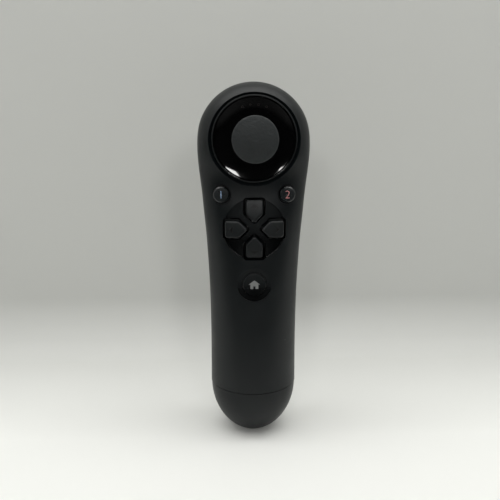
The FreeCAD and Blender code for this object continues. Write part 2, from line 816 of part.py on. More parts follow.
keep("dpad_pivot", ball("rocker", "rock_ball", "0", arrow_up, "rock_height"))

# Rubber contact domes under every key, on a film, on a moulded frame over the board.
KEY_FRAME_HALF = 14.6
KEY_FRAME_ABOVE = 16.6
KEY_FRAME_BELOW = 28.4
KEY_FRAME_WALL = 1.4
KEY_FRAME_ROOF = 1.2
FILM_MARGIN = 1.2
DOME_SHARE = 0.7
BUTTON_DOME = 2.3
BUTTON_DOME_BASE = 2.8
ARROW_RUBBER_HALF = 9.3
ARROW_DOME = 2.2
ARROW_DOME_OUT = 7.5
RUBBER_HOLE = 2.0
SCREW_POST = 2.3
SCREW_LOW_UP = 8.9
SCREW_LOW_OUT = 8.5
SCREW_HIGH_DROP = 43.2
SCREW_HIGH_OUT = 11.5
POST_CLEARANCE = 0.3
contact_top = "button_flange_low - touch_gap"
for hand, sign in HANDS:
    across = sign + "button_out"
    keep(hand + "_rubber", fuse(
        hand + "_contact",
        rod("contact_base", "button_dome_base", "z", across, button_up, (film_top, rubber_top)),
        funnel("contact_dome", "button_dome", "dome_share * button_dome", across, button_up,
               (rubber_top, contact_top))))
keep("home_rubber", fuse(
    "home_contact",
    rod("home_contact_base", "button_dome_base", "z", "0", home_up, (film_top, rubber_top)),
    funnel("home_contact_dome", "button_dome", "dome_share * button_dome", "0", home_up,
           (rubber_top, contact_top))))
arrow_sheet = cut(
    "arrow_sheet",
    soft_block("arrow_mat", "rubber_hole", ("-arrow_rubber_half", "arrow_rubber_half"),
               (f"{arrow_up} - arrow_rubber_half", f"{arrow_up} + arrow_rubber_half"),
               (film_top, rubber_top)),
    rod("arrow_mat_hole", "rubber_hole", "z", "0", arrow_up, ("0", "far")))
domes = []
for quarter in range(4):
    across, up = turned_corner(quarter, "0", "arrow_dome_out")
    domes.append(funnel(
        "arrow_dome_form", "arrow_dome", "dome_share * arrow_dome", across, f"{arrow_up} + {up}",
        (f"{rubber_top} - rubber_base / 2", "cross_low - touch_gap")))
keep("dpad_rubber", fuse("arrow_rubber", arrow_sheet, *domes))

screws = []
for sign in ("-", ""):
    screws.append((sign + "screw_low_out", "(seam_up + screw_low_up)"))
    screws.append((sign + "screw_high_out", "(head_up - screw_high_drop)"))
frame_span = (f"{arrow_up} - key_frame_below", f"{arrow_up} + key_frame_above")
frame_inner = (f"{frame_span[0]} + key_frame_wall", f"{frame_span[1]} - key_frame_wall")
post_holes = [rod("frame_post_hole", "screw_post + post_clearance", "z", across, up, through)
              for across, up in screws]
key_frame = cut(
    "key_frame",
    block("frame_block", ("-key_frame_half", "key_frame_half"), frame_span, ("board_front", frame_top)),
    block("frame_hollow", ("key_frame_wall - key_frame_half", "key_frame_half - key_frame_wall"), frame_inner,
          ("-far", f"{frame_top} - key_frame_roof")),
    *post_holes)
keep("keypad_frame", fuse(
    "key_frame_with_seat", key_frame,
    rod("rocker_seat", "seat_radius", "z", "0", arrow_up,
        (f"{frame_top} - key_frame_roof / 2", "rock_height - rock_ball - rock_gap"))))
film_post_holes = [rod("film_post_hole", "screw_post + post_clearance", "z", across, up, through)
                   for across, up in screws]
keep("keypad_film", cut(
    "film",
    block("film_sheet", ("film_margin - key_frame_half", "key_frame_half - film_margin"),
          (f"{frame_span[0]} + film_margin", f"{frame_span[1]} - film_margin"), (frame_top, film_top)),
    rod("film_seat_hole", "seat_radius + post_clearance", "z", "0", arrow_up, through),
    *film_post_holes))

# The main board: a disc behind the stick, a handle and a tail down to the socket.
BOARD_HEAD = 17.5
BOARD_HALF = 13.0
BOARD_LOW = 24.0
TAIL_HALF = 6.5
TAIL_LOW = 5.0
TAIL_CLEARANCE = 0.3
SCREW_BORE = 1.0
SCREW_SHANK = 0.95
SCREW_PASS = 1.2
SCREW_TIP = 5.0
SCREW_SEAT = -7.0
SCREW_HEAD = 1.9
SCREW_HEAD_HIGH = 1.4
SCREW_HEAD_GAP = 0.2
SCREW_SLOT_HALF = 0.3
SCREW_SLOT_REACH = 1.33
REAR_BOSS = 2.6
CHIP_HIGH = 1.0
SHIELD_HALF = 6.0
SHIELD_ROUND = 1.0
SHIELD_RISE = 6.0
SHIELD_LONG = 12.0
SHIELD_HIGH = 1.5
bracket_screw_spots = [(sign + "bracket_screw_out", "(head_up - bracket_screw_drop)")
                       for sign in ("-", "")]
BRACKET_SCREW_OUT = 5.0
BRACKET_SCREW_DROP = 13.2
BRACKET_SCREW_RADIUS = 0.8
BRACKET_SCREW_FIT = 0.05
board_holes = [rod("board_screw_hole", "screw_pass", "z", across, up, through) for across, up in screws]
small_hole = "bracket_screw_radius + bracket_screw_fit"
board_holes += [rod("board_small_hole", small_hole, "z", across, up, through)
                for across, up in bracket_screw_spots]
keep("main_board", cut(
    "board",
    fuse("board_solid",
         rod("board_disc", "board_head", "z", "0", "head_up", (board_back, "board_front")),
         block("board_handle", ("-board_half", "board_half"), ("board_low", "head_up"),
               (board_back, "board_front")),
         block("board_tail", ("-tail_half", "tail_half"), ("tail_low", "board_low + 1"),
               (board_back, "board_front"))),
    *board_holes))
shield_up = (f"{arrow_up} + shield_rise - shield_long / 2", f"{arrow_up} + shield_rise + shield_long / 2")
keep("radio_shield", soft_block("shield", "shield_round", ("-shield_half", "shield_half"), shield_up,
                                (f"{board_back} - shield_high", board_back)))
CHIPS = ("main_chip", "power_chip", "memory_chip", "crystal")
MAIN_CHIP_X = 0.0
MAIN_CHIP_RISE = -8.6
MAIN_CHIP_HALF = 5.0
MAIN_CHIP_TALL = 5.0
POWER_CHIP_X = -9.75
POWER_CHIP_RISE = 3.0
POWER_CHIP_HALF = 1.75
POWER_CHIP_TALL = 2.0
MEMORY_CHIP_X = 10.0
MEMORY_CHIP_RISE = 4.0
MEMORY_CHIP_HALF = 2.0
MEMORY_CHIP_TALL = 3.0
CRYSTAL_X = 8.75
CRYSTAL_RISE = 11.5
CRYSTAL_HALF = 1.25
CRYSTAL_TALL = 2.5
chip_level = (f"{board_back} - chip_high", board_back)
chip_blocks = []
for chip in CHIPS:
    chip_blocks.append(block(
        chip, (f"{chip}_x - {chip}_half", f"{chip}_x + {chip}_half"),
        (f"{arrow_up} + {chip}_rise - {chip}_tall", f"{arrow_up} + {chip}_rise + {chip}_tall"),
        chip_level))
keep("board_chips", fuse("chips", *chip_blocks))

# The charging socket at the tail of the board, with its tongue.
SOCKET_HALF = 3.85
SOCKET_BACK = 3.9
SOCKET_LOW = 0.8
SOCKET_LONG = 9.2
SOCKET_WALL = 0.35
TONGUE_HALF = 2.3
TONGUE_THICK = 1.0
TONGUE_INSET = 1.0
PORT_GAP = 0.45
socket_level = ("board_front", "board_front + socket_back")
socket_span = ("socket_low", "socket_low + socket_long")
keep("usb_socket", cut(
    "socket",
    block("socket_case", ("-socket_half", "socket_half"), socket_span, socket_level),
    block("socket_room", ("socket_wall - socket_half", "socket_half - socket_wall"),
          ("socket_low - 1", "socket_low + socket_long - socket_wall"),
          ("board_front + socket_wall", "board_front + socket_back - socket_wall"))))
tongue_middle = "board_front + socket_back / 2"
keep("usb_tongue", block(
    "tongue", ("-tongue_half", "tongue_half"),
    ("socket_low + tongue_inset", "socket_low + socket_long - socket_wall"),
    (f"{tongue_middle} - tongue_thick / 2", f"{tongue_middle} + tongue_thick / 2")))

# The battery, the foam that holds it against ribs of the rear shell, and its lead.
BATTERY_HALF = 9.0
BATTERY_CLEAR = 7.5
BATTERY_DROP = 17.4
BATTERY_FRONT = -3.2
BATTERY_THICK = 5.0
BATTERY_ROUND = 1.5
FOAM_HALF = 6.0
FOAM_INSET = 3.5
FOAM_THICK = 1.2
RIB_THICK = 1.2
RIB_HALF = 8.0
RIB_INSET = 7.0
LEAD_RADIUS = 0.6
PLUG_HALF = 2.4
PLUG_LONG = 4.0
battery_low = "(seam_up + spigot_high + battery_clear)"
battery_top = f"({arrow_up} - battery_drop)"
battery_back = "(battery_front - battery_thick)"
keep("battery", soft_block("cell", "battery_round", ("-battery_half", "battery_half"),
                           (battery_low, battery_top), (battery_back, "battery_front")))
keep("battery_pad", block("foam", ("-foam_half", "foam_half"),
                          (f"{battery_low} + foam_inset", f"{battery_top} - foam_inset"),
                          (f"{battery_back} - foam_thick", battery_back)))
lead_level = f"{board_back} - chip_high"
keep("battery_lead", fuse(
    "lead",
    block("lead_plug", ("-plug_half", "plug_half"), (f"{battery_top} - plug_long", battery_top),
          ("battery_front", board_back)),
    block("lead_tab", ("-plug_half", "plug_half"), (battery_top, f"{battery_top} + 2 * lead_radius"),
          ("battery_front - 2 * lead_radius", board_back))))

# The trigger: a curved blade with two cheeks, hung on a pin behind the head.
PIVOT_RISE = 4.3
PIVOT_DEEP = 6.4
TRIGGER_HALF = 9.0
TRIGGER_ROUND = 4.6
TRIGGER_WALL = 1.6
TRIGGER_DROP = 17.9
TRIGGER_OUT = 14.6
TRIGGER_BEND = 30.0
TIP_ACROSS = 1.4
TIP_FORWARD = 1.1
TIP_ROUND = 0.95
BLADE_DROP = 12.5
BLADE_OUT = 4.4
BLADE_BEND = 33.0
CHEEK_DROP = 8.5
CHEEK_OUT = 1.0
CHEEK_TIP = 1.0
CHEEK_COVER = 1.4
HOLLOW_DROP = 14.5
HOLLOW_OUT = 9.2
PLUNGER_DROP = 9.5
PLUNGER_HALF = 1.2
PLUNGER_FRONT = -8.3
PLUNGER_ROOT = 7.3
PIN_RADIUS = 1.0
PIN_REACH = 10.45
BRACKET_FRONT = -3.6
BRACKET_THICK = 1.0
BRACKET_HALF = 10.6
BRACKET_LOW_DROP = 16.2
BRACKET_HIGH_RISE = 13.8
EAR_THICK = 1.0
EAR_HALF = 1.8
EAR_COVER = 1.6
FOOT_RADIUS = 1.8
FOOT_RISE = 11.3
PAN_RADIUS = 1.5
PAN_HIGH = 0.8
pivot_up = "(head_up + pivot_rise)"
pivot_z = "(-pivot_deep)"
bracket_back = "(bracket_front - bracket_thick)"
inner_round = "(trigger_round - trigger_wall)"
trigger = start_body("trigger")
pad(trigger, draw(trigger, "YZ_Plane", "0", [
    (f"{pivot_up} + trigger_round", pivot_z, "-trigger_round"),
    (pivot_up, f"{pivot_z} - trigger_round", "trigger_bend"),
    (f"{pivot_up} - trigger_drop", f"{pivot_z} - trigger_out", "-tip_round"),
    (f"{pivot_up} - trigger_drop - tip_across", f"{pivot_z} - trigger_out + tip_forward", "-blade_bend"),
    (f"{pivot_up} - blade_drop", f"{pivot_z} - blade_out"),
    (f"{pivot_up} - cheek_drop", f"{pivot_z} - cheek_out"),
    (f"{pivot_up} - cheek_tip", f"{pivot_z} + cheek_cover"),
    (f"{pivot_up} + cheek_tip", f"{pivot_z} + cheek_cover"),
]), "2 * trigger_half", middle=True)
pocket(trigger, draw(trigger, "YZ_Plane", "0", [
    (f"{pivot_up} + {inner_round}", "0"),
    (f"{pivot_up} + {inner_round}", pivot_z, f"-{inner_round}"),
    (pivot_up, f"{pivot_z} - {inner_round}", "(trigger_bend + trigger_wall)"),
    (f"{pivot_up} - hollow_drop", f"{pivot_z} - hollow_out"),
    (f"{pivot_up} - hollow_drop", "0"),
]), "2 * (trigger_half - trigger_wall)", middle=True)
pad(trigger, draw(trigger, "YZ_Plane", "0", [
    (f"{pivot_up} - plunger_drop - plunger_half", f"{pivot_z} - plunger_root"),
    (f"{pivot_up} - plunger_drop + plunger_half", f"{pivot_z} - plunger_root"),
    (f"{pivot_up} - plunger_drop + plunger_half", "plunger_front"),
    (f"{pivot_up} - plunger_drop - plunger_half", "plunger_front"),
]), "2 * plunger_half", middle=True)
pocket(trigger, circle(trigger, "YZ_Plane", "0", "pin_radius + trunnion_fit", (pivot_up, pivot_z)),
       "4 * trigger_half", middle=True)
keep("trigger_pin", rod("pin", "pin_radius", "x", ("-pin_reach", "pin_reach"), pivot_up, pivot_z))

# The trigger's bracket: a plate on four feet behind the board, with an ear at each side.
bracket_span = ("head_up - bracket_low_drop", "head_up + bracket_high_rise")
ears = []
for reach in (("-bracket_half", "ear_thick - bracket_half"), ("bracket_half - ear_thick", "bracket_half")):
    ears.append(block("ear", reach, (f"{pivot_up} - ear_half", f"{pivot_up} + ear_half"),
                      (f"{pivot_z} - ear_cover", "bracket_front")))
feet = []
for sign in ("-", ""):
    for up in ("head_up - bracket_screw_drop", "head_up + foot_rise"):
        feet.append(rod("foot", "foot_radius", "z", sign + "bracket_screw_out", up,
                        (f"{bracket_back} + bracket_thick / 2", board_back)))
small_bores = [rod("small_bore", small_hole, "z", across, up, through)
               for across, up in bracket_screw_spots]
keep("trigger_bracket", cut(
    "bracket",
    fuse("bracket_solid",
         block("bracket_plate", ("-bracket_half", "bracket_half"), bracket_span,
               (bracket_back, "bracket_front")),
         *ears, *feet),
    rod("ear_bore", "pin_radius + trunnion_fit", "x", through, pivot_up, pivot_z),
    *small_bores))
small_screws = []
for across, up in bracket_screw_spots:
    small_screws.append(rod("pan_head", "pan_radius", "z", across, up,
                            (f"{bracket_back} - pan_high", bracket_back)))
    small_screws.append(rod("small_shank", "bracket_screw_radius", "z", across, up,
                            (f"{bracket_back} - pan_high / 2", "board_front")))
keep("bracket_screws", fuse("small_screws", *small_screws))

# The trigger's return spring round its pin, and its contact on a small board.
SPRING_OUTER = 1.55
SPRING_INNER = 1.12
SPRING_HALF = 3.0
SPRING_WIRE = 0.2
SPRING_LEG = 5.0
TRIGGER_BOARD_HALF = 6.0
TRIGGER_BOARD_TALL = 4.0
TRIGGER_BOARD_THICK = 0.8
TRIGGER_DOME = 2.3
spring_leg_x = "spring_half - 2 * spring_wire"
spring_middle = "(spring_outer + spring_inner) / 2"
keep("trigger_spring", fuse(
    "spring",
    cut("spring_coil",
        rod("spring_outside", "spring_outer", "x", ("-spring_half", "spring_half"), pivot_up, pivot_z),
        rod("spring_inside", "spring_inner", "x", through, pivot_up, pivot_z)),
    rod("spring_plate_leg", "spring_wire", "y", spring_leg_x, (f"{pivot_up} - spring_leg", pivot_up),
        f"{pivot_z} + {spring_middle}"),
    rod("spring_trigger_leg", "spring_wire", "z", "2 * spring_wire - spring_half",
        f"{pivot_up} - {spring_middle}", (f"{pivot_z} - {inner_round} + touch_gap", pivot_z))))
trigger_contact_up = f"{pivot_up} - plunger_drop"
trigger_board_back = f"({bracket_back} - trigger_board_thick)"
keep("trigger_board", block(
    "contact_board", ("-trigger_board_half", "trigger_board_half"),
    (f"{trigger_contact_up} - trigger_board_tall", f"{trigger_contact_up} + trigger_board_tall"),
    (trigger_board_back, bracket_back)))
keep("trigger_rubber", fuse(
    "trigger_contact",
    rod("trigger_contact_base", "trigger_dome + spring_wire", "z", "0", trigger_contact_up,
        (f"{trigger_board_back} - rubber_base", trigger_board_back)),
    funnel("trigger_contact_dome", "dome_share * trigger_dome", "trigger_dome", "0", trigger_contact_up,
           ("plunger_front + touch_gap", f"{trigger_board_back} - rubber_base"))))

# The casing's solids, each drawn in from the outside by its own inset.
outside = casing("casing_outside", "0")
rebate = casing("casing_rebate", "wall - lip_wall - lip_clearance")
lip_face = casing("casing_lip", "wall - lip_wall")
inside = casing("casing_inside", "wall")
above_seam = ("seam_up + seam_gap / 2", "head_up + far")

# The shoulder button above the trigger: it follows the casing and stands a little proud.
SHOULDER_ABOVE = 6.4
SHOULDER_HIGH = 12.5
SHOULDER_HALF = 8.5
SHOULDER_ROUND = 1.4
SHOULDER_PROUD = 1.3
SHOULDER_GAP = 0.25
SHOULDER_INNER = -6.2
SHOULDER_FLANGE_THICK = 0.8
SHOULDER_FLANGE_OUT = 0.8
SHOULDER_FLANGE_TALL = 1.2
SHOULDER_DOME = 2.0
SHOULDER_STEM_HALF = 2.0
SHOULDER_STEM_LOW = -5.95
shoulder_low = f"{pivot_up} + shoulder_above"
shoulder_top = f"{pivot_up} + shoulder_high"
proud = casing("casing_proud", "-shoulder_proud")
shoulder_middle = f"{shoulder_low} + (shoulder_high - shoulder_above) / 2"
keep("shoulder_button", fuse(
    "shoulder",
    common("shoulder_form", proud,
           soft_block("shoulder_block", "shoulder_round", ("-shoulder_half", "shoulder_half"),
                      (shoulder_low, shoulder_top), ("-far", "shoulder_inner"))),
    block("shoulder_flange", ("-shoulder_half - shoulder_flange_out", "shoulder_half + shoulder_flange_out"),
          (shoulder_low, f"{shoulder_low} + shoulder_flange_tall"),
          ("shoulder_inner - shoulder_flange_thick", "shoulder_inner")),
    block("shoulder_stem", ("-shoulder_stem_half", "shoulder_stem_half"),
          (f"{shoulder_middle} - shoulder_stem_half / 2", f"{shoulder_middle} + shoulder_stem_half / 2"),
          ("shoulder_inner - 1", "shoulder_stem_low"))))
shoulder_contact_up = f"{shoulder_middle} - shoulder_stem_half"
keep("shoulder_rubber", fuse(
    "shoulder_contact",
    rod("shoulder_contact_base", "shoulder_dome + spring_wire", "z", "0", shoulder_contact_up,
        (f"{bracket_back} - rubber_base / 2", bracket_back)),
    funnel("shoulder_contact_dome", "dome_share * shoulder_dome", "shoulder_dome", "0", shoulder_contact_up,
           ("shoulder_stem_low + touch_gap", f"{bracket_back} - rubber_base / 2"))))

# The front shell: the face of the casing with its bosses, openings and screw posts.
features = []
for hand, sign in HANDS:
    features.append(rod("button_boss", "well_radius + boss_wall", "z", sign + "button_out", button_up,
                        (button_boss_low, "far")))
features.append(rod("home_boss", "home_dish + home_boss_wall", "z", "0", home_up, (home_boss_low, "far")))
features.append(rod("bezel_seat", "bezel_flange", "z", "0", face_up,
                    ("bezel_skirt + bezel_flange_thick + touch_gap", "far")))
features.append(rod("arrow_boss", "dish_boss", "z", "0", arrow_up, ("dish_boss_low", "far")))
for across, up in screws:
    features.append(rod("front_post", "screw_post", "z", across, up, ("board_front", "far")))
front_wall = cut(
    "front_wall",
    cut("front_skin",
        common("front_half", outside, block("front_side", through, above_seam, ("shell_gap / 2", "far"))),
        inside),
    common("front_rebate", rebate,
           block("rebate_side", through, above_seam, ("-far", "lip_height + lip_clearance"))))
front_features = common("front_features", rebate, fuse("front_feature_forms", *features))
front_solid = fuse("front_solid", front_wall, front_features)

key_holes = start_body("key_holes", "0", arrow_up)
pieces.remove(key_holes)
key_holes.Placement = FreeCAD.Placement()
place(key_holes, "0", arrow_up, "0")
hole_outlines = [key_outline(quarter, "arrow_gap") for quarter in range(4)]
hole_blocks = pad(key_holes, draw(key_holes, "XY_Plane", "0", *hole_outlines), "far")
doc.recompute()
uprights = []
for number, edge in enumerate(hole_blocks.Shape.Edges, 1):
    if len(edge.Vertexes) == 2 and math.isclose(edge.Length, value("far")):
        uprights.append(f"Edge{number}")
rounded_holes = key_holes.newObject("PartDesign::Fillet", "key_hole_corners")
rounded_holes.Base = (hole_blocks, uprights)
bind(rounded_holes, "Radius", "hole_corner")
key_holes.Tip = rounded_holes

DISH_STEPS = 8
dish_rings = []
for step in range(DISH_STEPS + 1):
    offset = value("dish_boss") * (2 * step / DISH_STEPS - 1)
    share = min(1, abs(offset) / value("dish_radius")) ** 2
    deep = value("dish_deep") - (value("dish_deep") - value("dish_edge")) * share
    up = value(arrow_up) + offset
    half, front, back, power = station_sizes(up)
    dish_rings.append(ring(up, half, front - deep, back, power))
dish_floor = loft("dish_floor", dish_rings)

openings = [
    rod("face_opening", "bezel_radius + bezel_gap", "z", "0", face_up, ("bezel_skirt", "far")),
    funnel("face_bevel", "bezel_radius + bezel_gap", "bezel_radius + bezel_gap + 2 * bevel", "0", face_up,
           ("bevel_floor", "bevel_floor + 2 * bevel")),
    key_holes,
    cut("arrow_dish", rod("arrow_dish_form", "dish_radius", "z", "0", arrow_up, ("dish_boss_low", "far")),
        dish_floor),
    common("home_dish_form", rod("home_dish_rim", "home_dish", "z", "0", home_up, (home_boss_low, "far")),
           ball("home_dish_ball_form", "home_dish_ball", "0", home_up, "home_dish_floor + home_dish_ball")),
    rod("home_hole", "home_radius + home_gap", "z", "0", home_up, ("0", "far")),
]
for hand, sign in HANDS:
    across = sign + "button_out"
    openings.append(rod("button_well", "well_radius", "z", across, button_up, ("well_floor", "far")))
    openings.append(rod("button_hole", "button_radius + button_gap", "z", across, button_up, ("0", "far")))
    openings.append(rod("flange_room", "button_flange + rest_gap", "z", across, button_up,
                        ("lip_height + lip_clearance", button_boss_low)))
for across, up in screws:
    openings.append(rod("post_bore", "screw_bore", "z", across, up, ("-far", "screw_tip + rest_gap")))
keep("front_shell", cut("front", front_solid, *openings))

# The rear shell: a lip that enters the front shell, screw bosses, ribs and two openings.
TRIGGER_GAP = 0.5
TRIGGER_OPENING_DROP = 20.5
TRIGGER_OPENING_GAP = 0.4
OPENING_ROUND = 1.2
BACK_OPENING_DEEP = -4.6
lip_level = ("-lip_height", "lip_height")
rear_wall = cut(
    "rear_wall",
    common("rear_half", outside, block("rear_side", through, above_seam, ("-far", "-shell_gap / 2"))),
    inside)
lip = cut(
    "lip",
    common("lip_form", lip_face, block("lip_side", through, above_seam, lip_level)),
    inside)
supports = []
for across, up in screws:
    supports.append(rod("rear_boss_form", "rear_boss", "z", across, up, ("-far", board_back)))
for up in (f"{battery_low} + rib_inset", f"{battery_top} - rib_inset"):
    supports.append(block("battery_rib", ("-rib_half", "rib_half"),
                          (f"{up} - rib_thick / 2", f"{up} + rib_thick / 2"),
                          ("-far", f"{battery_back} - foam_thick - touch_gap")))
rear_solid = fuse("rear_solid", rear_wall, lip,
                  common("rear_features", rebate, fuse("rear_feature_forms", *supports)))
rear_openings = [
    soft_block("trigger_opening", "opening_round",
               ("-trigger_half - trigger_gap", "trigger_half + trigger_gap"),
               (f"{pivot_up} - trigger_opening_drop", f"{pivot_up} + trigger_round + trigger_opening_gap"),
               ("-far", "back_opening_deep")),
    soft_block("shoulder_opening", "shoulder_round + shoulder_gap",
               ("-shoulder_half - shoulder_gap", "shoulder_half + shoulder_gap"),
               (f"{shoulder_low} - shoulder_gap", f"{shoulder_top} + shoulder_gap"),
               ("-far", "back_opening_deep")),
]
for across, up in screws:
    rear_openings.append(rod("screw_passage", "screw_pass", "z", across, up, ("-far", "0")))
    rear_openings.append(rod("head_recess", "screw_head + screw_head_gap", "z", across, up,
                             ("-far", "screw_seat")))
keep("rear_shell", cut("rear", rear_solid, *rear_openings))
cased = []
slot_level = ("-far", "screw_seat - screw_head_high / 2")
for across, up in screws:
    head = cut(
        "screw_head_form",
        rod("screw_head_solid", "screw_head", "z", across, up,
            ("screw_seat - screw_head_high", "screw_seat")),
        block("screw_slot", (f"{across} - screw_slot_reach", f"{across} + screw_slot_reach"),
              (f"{up} - screw_slot_half", f"{up} + screw_slot_half"), slot_level),
        block("screw_cross", (f"{across} - screw_slot_half", f"{across} + screw_slot_half"),
              (f"{up} - screw_slot_reach", f"{up} + screw_slot_reach"), slot_level))
    cased.append(head)
    cased.append(rod("screw_shank_form", "screw_shank", "z", across, up,
                     ("screw_seat - screw_head_high / 4", "screw_tip")))
keep("case_screws", fuse("long_screws", *cased))

# The base cap: a rounded end with a flat foot, a spigot inside the shells and a port.
CAP_STEP = 0.15
CAP_DOME = 21.5
CAP_WALL = 3.2
CAP_FLOOR = 3.0
SPIGOT_GAP = 0.15
SPIGOT_ROOT = 0.8
PORT_WIDE = 4.3


def end_cap(name, inset, floor):
    """The rounded end below the seam, a half ellipsoid cut flat at its foot."""
    inset = value(inset)
    top = value("seam_up - seam_gap / 2")
    dome = value("cap_dome") - inset
    steepest = math.asin((top - value(floor)) / dome)
    rings = []
    for step in range(CAP_STEPS, -1, -1):
        angle = steepest * step / CAP_STEPS
        widths = [(value(part) - value("cap_step") - inset) * math.cos(angle)
                  for part in ("seam_half", "seam_front", "seam_back")]
        rings.append(ring(top - dome * math.sin(angle), *widths, value("seam_power")))
    return loft(name, rings)


spigot_level = ("seam_up - seam_gap / 2 - spigot_root", "seam_up + spigot_high")
spigot = common("spigot", casing("spigot_outside", "wall + spigot_gap", "spigot_root + seam_gap"),
                block("spigot_side", through, spigot_level, through))
spigot_room = common("spigot_room", casing("spigot_inside", "cap_wall", "spigot_root + seam_gap"),
                     block("spigot_room_side", through, (spigot_level[0], "far"), through))
keep("base_cap", cut(
    "cap",
    fuse("cap_solid", end_cap("cap_outside", "0", "0"), spigot),
    end_cap("cap_inside", "cap_wall", "cap_floor"),
    spigot_room,
    block("port", ("-port_wide", "port_wide"), ("-1", "socket_low + socket_long + rest_gap"),
          ("board_front - port_gap", "board_front + socket_back + port_gap")),
    block("tail_room", ("-tail_half - tail_clearance", "tail_half + tail_clearance"),
          ("tail_low - tail_clearance", "socket_low + socket_long + rest_gap"),
          (f"{board_back} - tail_clearance", "board_front"))))

doc.recompute()
failed = [thing.Label for thing in doc.Objects if "Invalid" in thing.State or "Error" in thing.State]
if failed:
    raise ValueError("not made: " + ", ".join(failed))
for piece in pieces:
    if piece.Shape.isNull() or not piece.Shape.isValid():
        raise ValueError(piece.Label + ": its shape is not valid")
os.makedirs("parts", exist_ok=True)
for piece in pieces:
    piece.Shape.exportStep(f"parts/{piece.Label}.step")
    print(piece.Label, len(piece.Shape.Solids), "solids", round(piece.Shape.Volume), "mm3")
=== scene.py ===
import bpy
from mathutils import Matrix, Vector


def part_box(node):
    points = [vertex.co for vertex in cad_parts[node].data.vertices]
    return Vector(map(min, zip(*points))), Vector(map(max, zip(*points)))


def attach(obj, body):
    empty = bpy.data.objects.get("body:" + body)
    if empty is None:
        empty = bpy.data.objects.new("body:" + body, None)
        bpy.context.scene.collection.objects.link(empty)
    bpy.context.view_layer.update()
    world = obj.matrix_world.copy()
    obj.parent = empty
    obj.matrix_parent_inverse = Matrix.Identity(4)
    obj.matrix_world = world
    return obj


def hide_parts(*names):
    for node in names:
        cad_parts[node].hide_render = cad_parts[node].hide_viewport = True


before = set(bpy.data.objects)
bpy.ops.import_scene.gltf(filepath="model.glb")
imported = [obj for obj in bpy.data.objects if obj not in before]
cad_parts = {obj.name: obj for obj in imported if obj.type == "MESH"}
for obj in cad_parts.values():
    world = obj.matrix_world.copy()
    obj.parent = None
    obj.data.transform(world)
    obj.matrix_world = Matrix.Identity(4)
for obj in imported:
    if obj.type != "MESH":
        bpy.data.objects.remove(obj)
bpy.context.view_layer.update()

import math

import bmesh
import bpy
from mathutils import Matrix, Vector

# The main board is a glass-fibre sheet under green solder mask, with black resin chips and a
# tinned can over the radio on its back. It is held between posts of the front shell and
# bosses of the rear one. The charging socket at its tail is bent from the same tinned sheet.
BOARD_GREEN = (0.012, 0.085, 0.035)
TRACK_GREEN = (0.03, 0.16, 0.07)
TRACK_SCALE, TRACK_WIDTH, TRACK_RISE = 260.0, 0.012, 0.00003
CHIP_BLACK = (0.015, 0.015, 0.016)
TIN = (0.62, 0.62, 0.6)
CONTACT_BLACK = (0.02, 0.02, 0.02)
BLACK, WHITE = (0, 0, 0, 1), (1, 1, 1, 1)
MOTTLE_SCALE, SMUDGE_SCALE = 120.0, 75.0
SPECK_SCALE, SPECK_SIZE = 330.0, 0.06
DUST_PALE = (0.2, 0.2, 0.2)


def shader_of(material):
    """The main shader node of a material."""
    return material.node_tree.nodes["Principled BSDF"]


def finish(name, colour, roughness, metallic=0.0):
    """A new node material, with the plain part of its finish set on its shader."""
    material = bpy.data.materials.new(name)
    material.use_nodes = True
    surface = shader_of(material)
    surface.inputs["Base Color"].default_value = (*colour, 1)
    surface.inputs["Roughness"].default_value = roughness
    surface.inputs["Metallic"].default_value = metallic
    return material


def add(tree, kind, inputs=None, **settings):
    """A shader node with its settings. An input is a value, or the socket that feeds it."""
    node = tree.nodes.new("ShaderNode" + kind)
    for name, value in settings.items():
        setattr(node, name, value)
    for name, value in (inputs or {}).items():
        if isinstance(value, bpy.types.NodeSocket):
            tree.links.new(value, node.inputs[name])
        else:
            node.inputs[name].default_value = value
    return node


def calculate(tree, operation, *values):
    """The result of a piece of arithmetic on values or sockets."""
    return add(tree, "Math", dict(enumerate(values)), operation=operation).outputs[0]


def spread(tree, value, low, high):
    """A value stretched from one range to the range from 0 to 1, and held at its ends."""
    return add(tree, "MapRange", {"Value": value, "From Min": low, "From Max": high}).outputs["Result"]


def between(tree, share, first, second):
    """A colour between two others, by a share from 0 to 1. Each is a colour or a socket."""
    ends = [end if isinstance(end, bpy.types.NodeSocket) else (*end, 1) for end in (first, second)]
    return add(tree, "Mix", {0: share, 6: ends[0], 7: ends[1]}, data_type="RGBA").outputs[2]


def place_of(tree):
    """The place on the piece, in the scene's own metres."""
    return add(tree, "TexCoord").outputs["Object"]


def feed(surface, **sockets):
    """Join sockets to the shader's inputs."""
    for name, socket in sockets.items():
        surface.id_data.links.new(socket, surface.inputs[name.replace("_", " ")])


def wear(material, *names):
    """Put a material on nodes of the frame."""
    for name in names:
        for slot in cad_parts[name].material_slots:
            slot.material = material


def new_group(name, taken, given):
    """A node group with its named sockets, and what comes out at its start and in at its end."""
    group = bpy.data.node_groups.new(name, "ShaderNodeTree")
    for way, sockets in (("INPUT", taken), ("OUTPUT", given)):
        for label, kind in sockets:
            group.interface.new_socket(label, in_out=way, socket_type="NodeSocket" + kind)
    return group, group.nodes.new("NodeGroupInput").outputs, group.nodes.new("NodeGroupOutput").inputs


